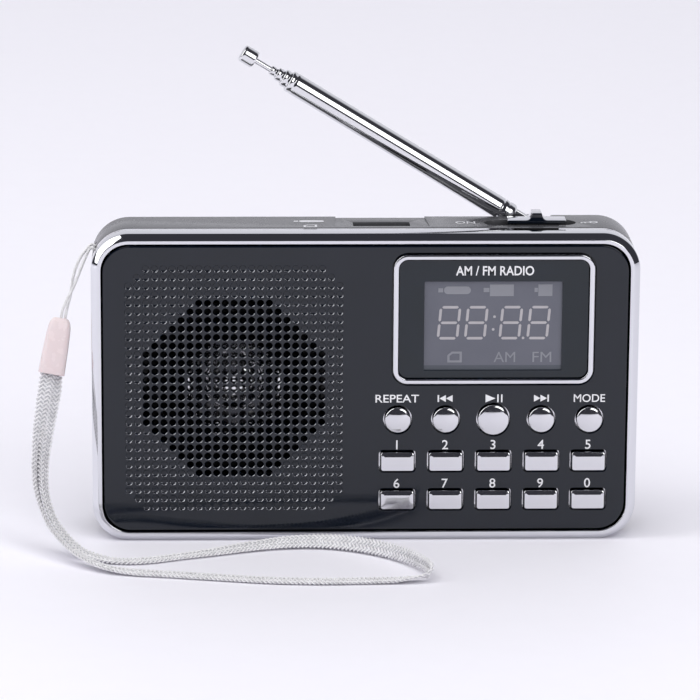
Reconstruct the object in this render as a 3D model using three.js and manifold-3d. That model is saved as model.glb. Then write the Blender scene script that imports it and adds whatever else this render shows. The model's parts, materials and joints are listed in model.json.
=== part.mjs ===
// Pocket digital radio with a telescopic antenna and a wrist strap.
// Millimetres. +X to the right of the front, +Y from the front to the back, +Z up.
// The origin is on the table under the middle of the case.
import * as THREE from "three";
import { mergeVertices } from "three/addons/utils/BufferGeometryUtils.js";
import Module from "manifold-3d";

const wasm = await Module();
wasm.setup();

// ---------------------------------------------------------------- driving sizes
const gap = 0.3; // clearance between touching pieces
const caseWidth = 121.6;
const caseHeight = 70.4;
const caseRadius = 8.4;
const midZ = caseHeight / 2;
const panelY = -11.5; // plane of the front panel
const backY = 12.5;
const seamY = -5.2; // between the chrome frame and the rear shell
const wall = 2.0;

const lip = 0.9; // front-facing edge of the frame
const bevel = 1.3;
const panelGap = 0.4;
const opening = { w: caseWidth - 2 * (bevel + lip), h: caseHeight - 2 * (bevel + lip), r: 6.4 };
const panel = { w: opening.w - 2 * panelGap, h: opening.h - 2 * panelGap, r: 6.0, t: 1.8 };
const panelBackY = panelY + panel.t;

const grille = { x: -29.2, z: 35.34, pitch: 1.95, slot: 1.2 };
const trim = { x: 28.37, z: 51.09, w: 44.6, h: 29.5, r: 3.3, band: 1.15 };
const lcd = { x: 28.25, z: 49.49, w: 36, h: 24.6 };

const keyY = -12.5; // front of keys and buttons
const flangeY = { front: panelBackY + 0.35, back: panelBackY + 1.1 };
const stemEndY = -7.4;
const buttonX = [7.25, 17.96, 28.59, 39.31, 50.06];
const buttonZ = 28.04;
const keyX = [7.26, 18.05, 28.75, 39.46, 50.01];
const keyZ = [18.44, 9.54];
const key = { w: 7.7, h: 4.4, r: 0.7, bevel: 0.7 };

const board = { x0: 2.6, x1: 57.4, z0: 5, z1: 62.5, y0: -5.3, y1: -4.1 };
const speakerRadius = 19.5;

const port = { x: 3.75, y: -0.3, w: 12.7, d: 4.8 };
const slot = { x0: 26.7, x1: 47.2, y: 0.25, d: 5.3 };
const slider = {
  x: 38.35, w: 13.1, d: 4.2, rise: 0.95, nubRise: 2.6, // block on top of the case
  neck: 10, clear: 0.2, flange: { w: 23, d: 6.8, z: 67.1, t: 1.0 }, stem: { w: 2, d: 1.6, z: 65 },
  left: 4.8, right: 2.0, // travel each way
};
const topShelf = { x0: -6.5, x1: 14, y0: -3.2, depth: 0.3 }; // shallow recess round the port
const jackAt = { y: -0.3, z: 48.4, r: 1.8 };
const chargeAt = { y: -0.3, z: 35.3, w: 5.6, h: 3.2 };

const antennaY = 9.4;
const pivot = new THREE.Vector3(37.5, antennaY, 67.59);
const antennaTilt = THREE.MathUtils.degToRad(31.5);
const channel = { x0: -70, x1: 42.3, z: 64.55, y: 6.6 }; // open to the left, the back and the top

const battery = { x: -0.9, z: 27, w: 53, h: 34, y0: 4.9, y1: 10.1 };
const bay = { x0: -28, x1: 30.6, z0: 9.4, z1: 44.6, y: 4.5 };
const cover = { x: 0, w: 62, z1: 46.4, y: 10.9, tongue: 1.3, tongueT: 0.6 };
const screwSpots = [[-52, 9], [52, 9], [-52, 57.5], [52, 57.5]];

// ---------------------------------------------------------------- colours
const finish = (color, roughness, metalness) => ({ color, roughness, metalness });
const chrome = finish(0xd4d5dc, 0.08, 1);
const steel = finish(0xa8a9ad, 0.35, 1);
const glossBlack = finish(0x35383f, 0.12, 0);
const satinBlack = finish(0x26272b, 0.4, 0);
const darkGlass = finish(0x1b1c20, 0.05, 0);
const lcdGrey = finish(0x6b6e7b, 0.3, 0);
const boardGreen = finish(0x1e5a37, 0.5, 0);
const paperGrey = finish(0x8f9296, 0.5, 0);
const brass = finish(0xc9a44a, 0.3, 1);
const woven = finish(0xeeecf0, 0.9, 0);
const clampPink = finish(0xead9dc, 0.5, 0);

// ---------------------------------------------------------------- solids
const root = new THREE.Group();

function toSolid(geometry) {
  const bare = geometry.clone();
  for (const name of ["normal", "uv"]) bare.deleteAttribute(name);
  const merged = mergeVertices(bare, 1e-5);
  const count = merged.index.count;
  const keep = [];
  for (let i = 0; i < count; i += 3) {
    const [a, b, c] = [0, 1, 2].map((k) => merged.index.getX(i + k));
    if (a !== b && b !== c && c !== a) keep.push(a, b, c);
  }
  const mesh = new wasm.Mesh({
    numProp: 3,
    vertProperties: new Float32Array(merged.attributes.position.array),
    triVerts: new Uint32Array(keep),
  });
  return new wasm.Manifold(mesh);
}

function toGeometry(solid) {
  const mesh = solid.getMesh();
  const geometry = new THREE.BufferGeometry();
  geometry.setAttribute("position", new THREE.BufferAttribute(new Float32Array(mesh.vertProperties), 3));
  geometry.setIndex(new THREE.BufferAttribute(new Uint32Array(mesh.triVerts), 1));
  return geometry;
}

function combine(base, { add = [], cut = [] }) {
  let solid = toSolid(base);
  for (const tool of add) solid = solid.add(toSolid(tool));
  for (const tool of cut) solid = solid.subtract(toSolid(tool));
  return toGeometry(solid);
}

function add(name, geometry, look, parent = root) {
  const mesh = new THREE.Mesh(geometry, new THREE.MeshStandardMaterial(look));
  mesh.name = name;
  geometry.computeVertexNormals();
  parent.add(mesh);
  return mesh;
}

function box(x0, x1, y0, y1, z0, z1) {
  const geometry = new THREE.BoxGeometry(x1 - x0, y1 - y0, z1 - z0);
  return geometry.translate((x0 + x1) / 2, (y0 + y1) / 2, (z0 + z1) / 2);
}

// A box behind an opening of the right-hand side, grown all round by margin.
function sideBox({ y, z, w, h }, x0, x1, margin) {
  return box(x0, x1, y - w / 2 - margin, y + w / 2 + margin, z - h / 2 - margin, z + h / 2 + margin);
}

// A round bar along X.
function alongX(r, x0, x1, y, z) {
  return new THREE.CylinderGeometry(r, r, x1 - x0, 12).rotateZ(Math.PI / 2).translate((x0 + x1) / 2, y, z);
}

// Points of a rounded rectangle in the X-Z plane, counter-clockwise seen from the front.
function roundedOutline({ x = 0, z = midZ, w, h, r, steps = 5 }) {
  const points = [];
  const corners = [[1, -1, -90], [1, 1, 0], [-1, 1, 90], [-1, -1, 180]];
  for (const [sx, sz, start] of corners) {
    for (let i = 0; i <= steps; i++) {
      const angle = THREE.MathUtils.degToRad(start + (90 * i) / steps);
      const cx = x + sx * (w / 2 - r);
      const cz = z + sz * (h / 2 - r);
      points.push([cx + r * Math.cos(angle), cz + r * Math.sin(angle)]);
    }
  }
  return points;
}

// Closed body through rings of 3D points, all with the same count.
function skin(rings) {
  const n = rings[0].length;
  const index = [];
  for (let k = 0; k < rings.length - 1; k++) {
    const a = k * n;
    const b = a + n;
    for (let i = 0; i < n; i++) {
      const j = (i + 1) % n;
      index.push(a + i, a + j, b + j, a + i, b + j, b + i);
    }
  }
  const last = (rings.length - 1) * n;
  for (let i = 1; i < n - 1; i++) {
    index.push(0, i + 1, i);
    index.push(last, last + i, last + i + 1);
  }
  const geometry = new THREE.BufferGeometry();
  geometry.setAttribute("position", new THREE.Float32BufferAttribute(rings.flat(2), 3));
  geometry.setIndex(index);
  return geometry;
}

// Body along +Y through rounded rectangles given front to back.
function loftY(sections) {
  const rings = sections.map((s) => roundedOutline(s).reverse().map(([x, z]) => [x, s.y, z]));
  return skin(rings);
}

function slabY(outline, y0, y1) {
  return loftY([{ ...outline, y: y0 }, { ...outline, y: y1 }]);
}

// Body turned about Z from a profile of [radius, height] points.
const turned = (profile, segments = 16) =>
  new THREE.LatheGeometry(profile.map(([r, h]) => new THREE.Vector2(r, h)), segments);

// Turned body whose height runs along +Y from a point, front first.
const turnedY = (profile, x, z, segments = 16) => turned(profile, segments).translate(x, 0, z);

// Turned body whose height runs up +Z.
const turnedZ = (profile, x, y, segments = 16) => turned(profile, segments).rotateX(Math.PI / 2).translate(x, y, 0);

const rod = (r, h0, h1) => [[0, h0], [r, h0], [r, h1], [0, h1]];
const tube = (r, inner, h0, h1) => [[inner, h0], [r, h0], [r, h1], [inner, h1], [inner, h0]];

// ---------------------------------------------------------------- case
const caseSection = (y, inset) => ({
  y,
  w: caseWidth - 2 * inset,
  h: caseHeight - 2 * inset,
  r: caseRadius - inset,
});

function chromeFrame() {
  const body = loftY([
    caseSection(panelY - 0.3, bevel),
    caseSection(panelY + 1.0, 0),
    caseSection(seamY - gap / 2, 0),
  ]);
  return combine(body, { cut: [slabY(opening, panelY - 2, seamY + 1)] });
}

const shellOutside = () => loftY([
  caseSection(seamY + gap / 2, 0),
  caseSection(7.4, 0),
  caseSection(9.8, 0.8),
  caseSection(11.6, 2.5),
  caseSection(backY, 5.2),
]);

// The strap's two holes run through the rounded corner wall, one behind the other.
const lug = { y: [-3.9, -0.5], r: 0.95, lean: THREE.MathUtils.degToRad(66) };

function lugHole(y) {
  const x = -caseWidth / 2 + caseRadius * (1 - Math.sin(lug.lean));
  const z = caseHeight - caseRadius * (1 - Math.cos(lug.lean));
  return new THREE.CylinderGeometry(lug.r, lug.r, 9, 10)
    .rotateX(Math.PI / 2).rotateY(-lug.lean).translate(x, y, z);
}

function rearShell() {
  const room = combine(slabY({ w: caseWidth - 2 * wall, h: caseHeight - 2 * wall, r: 6.4 }, seamY - 1, 10.3), {
    cut: [
      box(channel.x0 - wall, channel.x1 + wall, channel.y - 1.8, 20, channel.z - wall, 80),
      box(bay.x0 - 1.4, bay.x1 + 1.4, bay.y - 1.3, 20, bay.z0 - 1.4, bay.z1 + 1.4),
      box(-cover.w / 2 - 2, cover.w / 2 + 2, cover.y - 2, 20, -1, cover.z1 + 2),
      ...screwSpots.map(([x, z]) => turnedY(rod(3.2, 1, 20), x, z, 10)),
      turnedZ(rod(3.4, 57.8, 66), pivot.x, antennaY, 12),
    ],
  });
  return combine(shellOutside(), {
    cut: [
      room,
      box(channel.x0, channel.x1, channel.y, 20, channel.z, 80),
      box(bay.x0, bay.x1, bay.y, 20, bay.z0, bay.z1),
      box(-cover.w / 2, cover.w / 2, cover.y - gap, 20, -1, cover.z1),
      box(-cover.w / 2 - cover.tongue, cover.w / 2 + cover.tongue,
        cover.y - gap, cover.y + cover.tongueT + gap, -1, cover.z1),
      box(port.x - port.w / 2, port.x + port.w / 2, port.y - port.d / 2, port.y + port.d / 2, 60, 80),
      box(topShelf.x0, topShelf.x1, topShelf.y0, channel.y + 1, caseHeight - topShelf.depth, 80),
      sliderSlot(66, 80),
      ...lug.y.map(lugHole),
      ...screwSpots.map(([x, z]) => turnedY([[0, -1], [1.15, -1], [1.15, 9.5], [2.4, 11], [2.4, 20], [0, 20]], x, z, 10)),
      turnedZ([[0, 55], [2.4, 55], [2.4, 57.8], [1.8, 57.8], [1.8, 66], [0, 66]], pivot.x, antennaY, 12),
      alongX(jackAt.r + 0.1, 58.5, 62, jackAt.y, jackAt.z),
      sideBox(chargeAt, 58.5, 62, 0.1),
    ],
  });
}

function sliderSlot(z0, z1) {
  const shape = new THREE.Shape();
  const r = slot.d / 2;
  shape.absarc(slot.x1 - r, slot.y, r, -Math.PI / 2, Math.PI / 2);
  shape.absarc(slot.x0 + r, slot.y, r, Math.PI / 2, (3 * Math.PI) / 2);
  const options = { depth: z1 - z0, bevelEnabled: false, curveSegments: 5 };
  return new THREE.ExtrudeGeometry(shape, options).translate(0, 0, z0);
}

// Open rows across the speaker; their widths make an octagon.
function grilleSlots() {
  const reach = 10;
  const corner = 14;
  const slots = [];
  for (let row = -reach; row <= reach; row++) {
    const half = (Math.min(reach, corner - Math.abs(row)) + 0.4) * grille.pitch;
    const z = grille.z + row * grille.pitch;
    slots.push(box(grille.x - half, grille.x + half, panelY - 1, panelBackY + 1, z - grille.slot / 2, z + grille.slot / 2));
  }
  return slots;
}

function frontPanel() {
  const pocket = { x: trim.x, z: trim.z, w: trim.w + 2 * gap, h: trim.h + 2 * gap, r: trim.r + gap };
  const keyHole = (x, z) => ({ x, z, w: key.w + 2 * gap, h: key.h + 2 * gap, r: key.r + 0.2, steps: 2 });
  return combine(slabY(panel, panelY, panelBackY), {
    cut: [
      ...grilleSlots(),
      slabY(pocket, panelY - 1, panelY + 1.2),
      slabY({ ...lcd, r: 0.5, steps: 1 }, panelY, panelBackY + 1),
      ...buttonX.map((x, i) => turnedY(rod(buttonRadius(i) + gap, panelY - 1, panelBackY + 1), x, buttonZ, 16)),
      ...keyZ.flatMap((z) => keyX.map((x) => slabY(keyHole(x, z), panelY - 1, panelBackY + 1))),
    ],
  });
}

// ---------------------------------------------------------------- display
function displayTrim() {
  const ring = loftY([
    { ...trim, w: trim.w - 0.6, h: trim.h - 0.6, r: trim.r - 0.3, y: panelY - 0.6 },
    { ...trim, y: panelY - 0.3 },
    { ...trim, y: panelY + 0.9 },
  ]);
  const inside = { ...trim, w: trim.w - 2 * trim.band, h: trim.h - 2 * trim.band, r: trim.r - trim.band };
  return combine(ring, { cut: [slabY(inside, panelY - 2, panelY + 2)] });
}

function displayWindow() {
  const margin = 2 * (trim.band + gap);
  const outline = { ...trim, w: trim.w - margin, h: trim.h - margin, r: trim.r - trim.band - gap };
  return slabY(outline, panelY + 0.1, panelY + 0.9);
}

// ---------------------------------------------------------------- buttons and keys
const buttonRadius = (i) => (i === 2 ? 3.5 : 2.95);

function roundButton(i) {
  const r = buttonRadius(i);
  const profile = [
    [0, keyY], [r * 0.55, keyY + 0.08], [r - 0.35, keyY + 0.35], [r, keyY + 0.8], [r, flangeY.front],
    [r + 0.9, flangeY.front], [r + 0.9, flangeY.back], [1.2, flangeY.back], [1.2, stemEndY], [0, stemEndY],
  ];
  return turnedY(profile, buttonX[i], buttonZ, 16);
}

function keyCap(x, z) {
  const outline = { x, z, w: key.w, h: key.h, r: key.r, steps: 2 };
  const face = { ...outline, w: key.w - 2 * key.bevel, h: key.h - 2 * key.bevel, r: 0.3 };
  const cap = loftY([
    { ...face, y: keyY },
    { ...outline, y: keyY + 0.6 },
    { ...outline, y: flangeY.front + 0.1 },
  ]);
  const flange = box(x - 4.7, x + 4.7, flangeY.front, flangeY.back, z - 3, z + 3);
  const stem = box(x - 1, x + 1, flangeY.back - 0.1, stemEndY, z - 1, z + 1);
  return combine(cap, { add: [flange, stem] });
}

// ---------------------------------------------------------------- inside the case
function mainBoard() {
  const switches = [];
  const spots = buttonX.map((x) => [x, buttonZ]).concat(keyZ.flatMap((z) => keyX.map((x) => [x, z])));
  for (const [x, z] of spots) {
    switches.push(box(x - 2.2, x + 2.2, board.y0 - 1.2, board.y0 + 0.1, z - 2.2, z + 2.2));
    switches.push(box(x - 0.8, x + 0.8, board.y0 - 1.6, board.y0, z - 0.8, z + 0.8));
  }
  const chip = box(24, 34, board.y1 - 0.1, board.y1 + 1.5, 22, 32);
  const crystal = box(40, 48, board.y1 - 0.1, board.y1 + 2.4, 24, 27.4);
  return combine(box(board.x0, board.x1, board.y0, board.y1, board.z0, board.z1), {
    add: [...switches, chip, crystal],
  });
}

function speakerFrame() {
  const r = speakerRadius;
  const basket = [
    [r, -9.2], [r, -7.9], [r - 1.2, -7.9], [11, -3.4], [7.8, -3.4], [7.8, -4.4], [10.4, -4.4],
    [r - 2.4, -8.4], [r - 2.4, -9.2], [r, -9.2],
  ];
  return turnedY(basket, grille.x, grille.z, 24);
}

function speakerCone() {
  const cone = [
    [0, -7.6], [3.2, -7.3], [6.2, -6.0], [6.6, -5.6], [15.6, -8.3], [16.7, -8.9], [16.7, -8.6],
    [15.4, -8.0], [6.4, -5.1], [6.0, -4.0], [5.6, -4.0], [5.8, -5.6], [3.0, -6.9], [0, -7.2],
  ];
  return turnedY(cone, grille.x, grille.z, 24);
}

const speakerMagnet = () => turnedY([[0, -3.1], [9.4, -3.1], [9.4, 1.8], [0, 1.8]], grille.x, grille.z, 20);

function usbShell() {
  const outside = box(port.x - 6.9, port.x + 6.9, port.y - 3.0, port.y + 3.0, 55, caseHeight - wall - 0.3);
  const inside = box(port.x - 6.3, port.x + 6.3, port.y - 2.4, port.y + 2.4, 56, 80);
  return combine(outside, { cut: [inside] });
}

function usbTongue() {
  const tongue = box(port.x - 5.6, port.x + 5.6, port.y + 0.2, port.y + 2.0, 57, 66.8);
  const seat = box(port.x - 5.9, port.x + 5.9, port.y - 2.0, port.y + 2.05, 56.4, 58.4);
  const cardSlot = box(port.x - 5.5, port.x + 5.5, port.y - 1.6, port.y - 0.8, 57, 60);
  return combine(seat, { add: [tongue], cut: [cardSlot] });
}

function jack() {
  const body = box(46.6, 58.5, jackAt.y - 3, jackAt.y + 3, jackAt.z - 3, jackAt.z + 3);
  return combine(body, { cut: [alongX(jackAt.r, 50, 60, jackAt.y, jackAt.z)] });
}

function chargeSocket() {
  const metal = 0.5;
  return combine(sideBox(chargeAt, 50.6, 58.5, metal), {
    cut: [sideBox(chargeAt, 51.4, 60, 0)],
    add: [sideBox({ ...chargeAt, w: 3, h: 0.7 }, 51, 57.6, 0)],
  });
}

function slideSwitch() {
  const { stem } = slider;
  const room = box(slider.x - stem.w / 2 - slider.left - gap, slider.x + stem.w / 2 + slider.right + gap,
    slot.y - stem.d / 2 - gap, slot.y + stem.d / 2 + gap, 64, 70);
  return combine(box(31, 45.7, slot.y - slot.d / 2, slot.y + slot.d / 2, 59, 65.6), { cut: [room] });
}

function powerSlider() {
  const half = slider.w / 2;
  const low = caseHeight + slider.clear;
  const top = caseHeight + slider.rise;
  const nubTop = caseHeight + slider.nubRise;
  const nub = { foot: 2.4, waist: 1.3, head: 1.15 };
  const shape = new THREE.Shape();
  shape.moveTo(-half, low);
  shape.lineTo(half, low);
  shape.lineTo(half, top);
  shape.lineTo(nub.foot, top);
  shape.quadraticCurveTo(nub.waist, top, nub.head, nubTop);
  shape.lineTo(-nub.head, nubTop);
  shape.quadraticCurveTo(-nub.waist, top, -nub.foot, top);
  shape.lineTo(-half, top);
  const options = { depth: slider.d, bevelEnabled: false, curveSegments: 4 };
  const block = new THREE.ExtrudeGeometry(shape, options).rotateX(Math.PI / 2)
    .translate(slider.x, slot.y + slider.d / 2, 0);
  const { flange, stem } = slider;
  const under = (w, d, z0, z1) => box(slider.x - w / 2, slider.x + w / 2, slot.y - d / 2, slot.y + d / 2, z0, z1);
  return combine(block, {
    add: [
      under(slider.neck, slider.d, flange.z, low + 0.1),
      under(flange.w, flange.d, flange.z, flange.z + flange.t),
      under(stem.w, stem.d, stem.z, flange.z + 0.1),
    ],
  });
}

const batteryBlock = () => slabY(
  { x: battery.x, z: battery.z, w: battery.w, h: battery.h, r: 1, steps: 2 }, battery.y0, battery.y1);

function batteryContacts() {
  const strip = box(28.6, 30.2, 5, 9.8, 18, 36);
  const fingers = [21, 27, 33].map((z) => box(26.1, 28.7, 6.4, 8.4, z - 1, z + 1));
  return combine(strip, { add: fingers });
}

function batteryCover() {
  const reach = cover.w / 2 - gap;
  const plate = toSolid(shellOutside())
    .intersect(toSolid(box(-reach, reach, cover.y, 20, -1, cover.z1 - gap)));
  const tongues = [-1, 1].map((side) => box(
    side > 0 ? reach - 1 : -reach - cover.tongue + 0.2, side > 0 ? reach + cover.tongue - 0.2 : -reach + 1,
    cover.y, cover.y + cover.tongueT, 6, 44));
  return combine(toGeometry(plate), { add: tongues });
}

function caseScrew(x, z) {
  const profile = [[0, 0.5], [0.85, 0.5], [0.85, 9.4], [2.0, 10.9], [2.0, 11.3], [0, 11.3]];
  const slotCut = box(x - 1.4, x + 1.4, 11.0, 12, z - 0.3, z + 0.3);
  return combine(turnedY(profile, x, z, 10), { cut: [slotCut] });
}

// ---------------------------------------------------------------- antenna
function antennaBase() {
  const profile = [[0, 58.2], [1.5, 58.2], [1.5, 64.85], [2.5, 64.85], [2.5, 69.85], [0, 69.85]];
  const fork = turnedZ(profile, pivot.x, antennaY, 16);
  const pinHole = new THREE.CylinderGeometry(0.95, 0.95, 9, 10).translate(pivot.x, antennaY, pivot.z);
  return combine(fork, {
    cut: [box(pivot.x - 4, pivot.x + 4, antennaY - 1.3, antennaY + 1.3, 65.35, 72), pinHole],
  });
}

const antennaScrew = () => turnedZ([[0, 55.9], [2.1, 55.9], [2.1, 57.5], [1.0, 57.5], [1.0, 57.9], [0, 57.9]],
  pivot.x, antennaY, 12);

const pivotPin = () => new THREE.CylinderGeometry(0.65, 0.65, 4.6, 10).translate(pivot.x, antennaY, pivot.z);

// Everything past the pivot is built along +Z from the pivot and leaned to the left.
const mast = new THREE.Group();
mast.position.copy(pivot);
mast.rotation.y = -(Math.PI / 2 - antennaTilt);
root.add(mast);

function knuckle() {
  const tang = new THREE.CylinderGeometry(1.9, 1.9, 2.0, 12);
  const neck = box(-1.9, 1.9, -1.0, 1.0, 0, 4.9);
  const collar = turnedZ([[0, 4.4], [2.1, 4.4], [2.5, 5.0], [2.5, 7.5], [1.9, 7.5], [1.9, 11], [0, 11]], 0, 0, 16);
  const pinHole = new THREE.CylinderGeometry(0.95, 0.95, 9, 10);
  return combine(tang, { add: [neck, collar], cut: [pinHole] });
}

const mastTubes = [
  { name: "antenna_tube_1", r: 2.5, inner: 2.2, from: 7.8, to: 63.7 },
  { name: "antenna_tube_2", r: 2.0, inner: 1.72, from: 12.0, to: 65.3 },
  { name: "antenna_tube_3", r: 1.5, inner: 1.27, from: 13.0, to: 66.9 },
  { name: "antenna_tube_4", r: 1.05, inner: 0.85, from: 14.0, to: 68.5 },
];

const tipProfile = [[0, 74.6], [0.95, 74.6], [0.95, 72.4], [1.7, 72.4], [2.0, 72.7], [2.0, 75.6], [1.6, 76.0], [0, 76.0]];

// ---------------------------------------------------------------- strap
const cordRadius = 0.36;
const bandWidth = 3.8;
const bandThickness = 0.8;
const clampTop = new THREE.Vector3(-67.6, -5.5, 50.1);
const clampEnd = new THREE.Vector3(-69.8, -8.5, 38.0);

const cordRoute = [
  [-67.4, -5.9, 51.2], [-67.0, -5.8, 52.7], [-66.1, -5.4, 54.6], [-65.1, -5.2, 56.4], [-64.3, -5.0, 58.2],
  [-63.4, -4.8, 60.5], [-62.5, -4.5, 62.7], [-61.7, -4.2, 64.5], [-61.2, -4.0, 65.4], [-60.7, -3.9, 65.7],
  [-60.1, -3.9, 65.4], [-58.3, -3.9, 64.6], [-57.1, -3.8, 64.1], [-56.2, -3.2, 63.7], [-55.9, -2.2, 63.6],
  [-56.2, -1.2, 63.7], [-57.1, -0.6, 64.1], [-58.3, -0.5, 64.6], [-60.1, -0.5, 65.4], [-60.9, -0.7, 65.7],
  [-61.9, -1.7, 64.9], [-63.2, -2.5, 63.3], [-64.3, -3.2, 61.0], [-65.0, -3.6, 58.6], [-65.3, -3.9, 56.6],
  [-65.6, -4.4, 54.6], [-66.2, -4.9, 52.5], [-66.5, -5.2, 51.0],
];

// Each entry is a point on the band's centreline and the direction of its width.
const bandRoute = [
  [[-69.1, -8.2, 37.4], [1, 0.1, -0.25]], [[-69.3, -8.8, 33.9], [1, 0.2, -0.2]],
  [[-70.2, -10.0, 29.0], [0.9, 0.4, -0.1]], [[-71.0, -11.8, 23.7], [0.75, 0.65, 0]],
  [[-71.5, -13.6, 19.1], [0.6, 0.8, 0]], [[-71.5, -15.6, 15.1], [0.5, 0.85, 0]],
  [[-70.8, -17.8, 11.3], [0.4, 0.9, 0]], [[-69.2, -20.0, 7.6], [0.3, 0.95, 0.1]],
  [[-66.6, -22.4, 4.6], [0.2, 1, 0.15]], [[-63.2, -24.5, 2.0], [0.1, 1, 0.15]],
  [[-59.4, -26.3, 0.9], [0, 1, 0.1]], [[-55.0, -28.0, 0.6], [0, 1, 0]], [[-49.0, -27.9, 0.6], [0, 1, 0]],
  [[-41.3, -24.9, 0.6], [-0.3, 1, 0]], [[-33.5, -22.1, 0.8], [-0.2, 1, 0.12]],
  [[-25.7, -19.2, 1.1], [0, 1, 0.3]], [[-17.9, -17.5, 1.5], [0, 0.85, 0.5]],
  [[-10.1, -17.7, 1.8], [0, 0.7, 0.7]], [[-3.5, -20.0, 2.0], [0, 0.5, 0.85]],
  [[3.0, -24.2, 2.1], [0.2, 0.3, 0.95]], [[8.3, -29.8, 2.2], [0.1, 0.1, 1]], [[11.5, -34.9, 2.2], [0, 0, 1]],
  [[13.1, -39.1, 2.2], [0.2, -0.1, 1]], [[13.1, -41.6, 1.9], [0.3, -0.5, 0.8]],
  [[11.4, -42.7, 1.4], [0.2, -0.9, 0.4]], [[6.5, -43.1, 0.8], [0, -1, 0.1]], [[0.0, -43.2, 0.6], [0, -1, 0]],
  [[-10.8, -43.5, 0.6], [0, -1, 0]], [[-21.7, -42.6, 0.6], [0, -1, 0]], [[-32.5, -40.4, 0.6], [0, -1, 0]],
  [[-43.4, -38.0, 0.6], [0, -1, 0]], [[-51.6, -36.5, 0.7], [0, -1, 0]], [[-57.1, -34.9, 1.2], [0, -1, 0.1]],
  [[-61.5, -31.6, 2.0], [0, -1, 0.1]], [[-65.4, -27.8, 3.3], [0, -1, 0.2]],
  [[-68.5, -24.4, 5.4], [0, -1, 0.2]], [[-70.8, -21.4, 8.0], [0, -1, 0.2]],
  [[-72.5, -18.4, 11.8], [-0.1, -1, 0.2]], [[-73.2, -16.2, 15.7], [-0.3, -0.9, 0.2]],
  [[-73.1, -14.0, 20.9], [-0.5, -0.8, 0.2]], [[-72.4, -12.2, 26.1], [-0.8, -0.5, 0.2]],
  [[-71.6, -10.8, 31.5], [-1, -0.3, 0.2]], [[-70.7, -9.4, 36.9], [-1, -0.1, 0.25]],
];

function strapLoop() {
  const path = new THREE.CatmullRomCurve3(cordRoute.map((p) => new THREE.Vector3(...p)), false, "centripetal");
  const section = new THREE.Shape();
  section.absarc(0, 0, cordRadius, 0, Math.PI * 2);
  return new THREE.ExtrudeGeometry(section, { steps: 40, curveSegments: 4, extrudePath: path });
}

function strapBand() {
  const centre = new THREE.CatmullRomCurve3(bandRoute.map(([p]) => new THREE.Vector3(...p)), false, "catmullrom");
  const width = new THREE.CatmullRomCurve3(bandRoute.map(([, w]) => new THREE.Vector3(...w)), false, "catmullrom");
  const steps = 72;
  const rings = [];
  for (let i = 0; i <= steps; i++) {
    const at = centre.getUtoTmapping(i / steps);
    const point = centre.getPoint(at);
    const tangent = centre.getTangent(at);
    const thick = new THREE.Vector3().crossVectors(tangent, width.getPoint(at)).normalize();
    const wide = new THREE.Vector3().crossVectors(thick, tangent);
    const corners = [[-1, -0.4], [-0.9, -1], [0.9, -1], [1, -0.4], [1, 0.4], [0.9, 1], [-0.9, 1], [-1, 0.4]];
    rings.push(corners.map(([a, b]) => point.clone()
      .addScaledVector(wide, (a * bandWidth) / 2).addScaledVector(thick, (b * bandThickness) / 2).toArray()));
  }
  return skin(rings);
}

function strapClamp() {
  const axis = new THREE.Vector3().subVectors(clampEnd, clampTop);
  const length = axis.length();
  axis.normalize();
  const thick = new THREE.Vector3().crossVectors(axis, new THREE.Vector3(1, 0, 0)).normalize();
  const wide = new THREE.Vector3().crossVectors(thick, axis);
  const outline = (w, t) => [[-1, -0.5], [-0.75, -1], [0.75, -1], [1, -0.5], [1, 0.5], [0.75, 1], [-0.75, 1], [-1, 0.5]]
    .map(([a, b]) => [(a * w) / 2, (b * t) / 2]);
  const stations = [[0, 3.0, 2.0], [0.04, 4.0, 3.0], [0.14, 5.0, 3.7], [0.4, 5.5, 4.1], [1, 5.9, 4.3]];
  const rings = stations.map(([along, w, t]) => outline(w, t).map(([a, b]) => clampTop.clone()
    .addScaledVector(axis, along * length).addScaledVector(wide, a).addScaledVector(thick, b).toArray()));
  return skin(rings);
}

// ---------------------------------------------------------------- assembly
add("chrome_frame", chromeFrame(), chrome);
add("front_panel", frontPanel(), glossBlack);
add("rear_shell", rearShell(), satinBlack);
add("display_trim", displayTrim(), chrome);
add("display_window", displayWindow(), darkGlass);
add("lcd_module", box(lcd.x - 19, lcd.x + 19, -9.4, -6.0, lcd.z - 13, lcd.z + 13), lcdGrey);
["repeat", "previous", "play", "next", "mode"].forEach((name, i) => add(`button_${name}`, roundButton(i), chrome));
keyZ.forEach((z, row) => keyX.forEach((x, i) => add(`key_${(row * 5 + i + 1) % 10}`, keyCap(x, z), chrome)));
add("main_board", mainBoard(), boardGreen);
add("speaker_frame", speakerFrame(), steel);
add("speaker_cone", speakerCone(), paperGrey);
add("speaker_magnet", speakerMagnet(), steel);
add("usb_shell", usbShell(), steel);
add("usb_tongue", usbTongue(), satinBlack);
add("headphone_jack", jack(), satinBlack);
add("charge_socket", chargeSocket(), steel);
add("slide_switch", slideSwitch(), steel);
add("power_slider", powerSlider(), chrome);
add("battery", batteryBlock(), paperGrey);
add("battery_contacts", batteryContacts(), brass);
add("battery_cover", batteryCover(), satinBlack);
screwSpots.forEach(([x, z], i) => add(`case_screw_${i + 1}`, caseScrew(x, z), steel));
add("antenna_base", antennaBase(), chrome);
add("antenna_screw", antennaScrew(), steel);
add("antenna_pivot_pin", pivotPin(), steel);
add("antenna_knuckle", knuckle(), chrome, mast);
mastTubes.forEach((t) => add(t.name, turnedZ(tube(t.r, t.inner, t.from, t.to), 0, 0, 14), chrome, mast));
add("antenna_rod", turnedZ(rod(0.65, 15, 74.3), 0, 0, 10), chrome, mast);
add("antenna_tip", turnedZ(tipProfile, 0, 0, 16), chrome, mast);
add("strap_loop", strapLoop(), woven);
add("strap_clamp", strapClamp(), clampPink);
add("strap_band", strapBand(), woven);

export default root;
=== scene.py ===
import json
from math import cos, hypot, pi, radians, sin, tan

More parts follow.
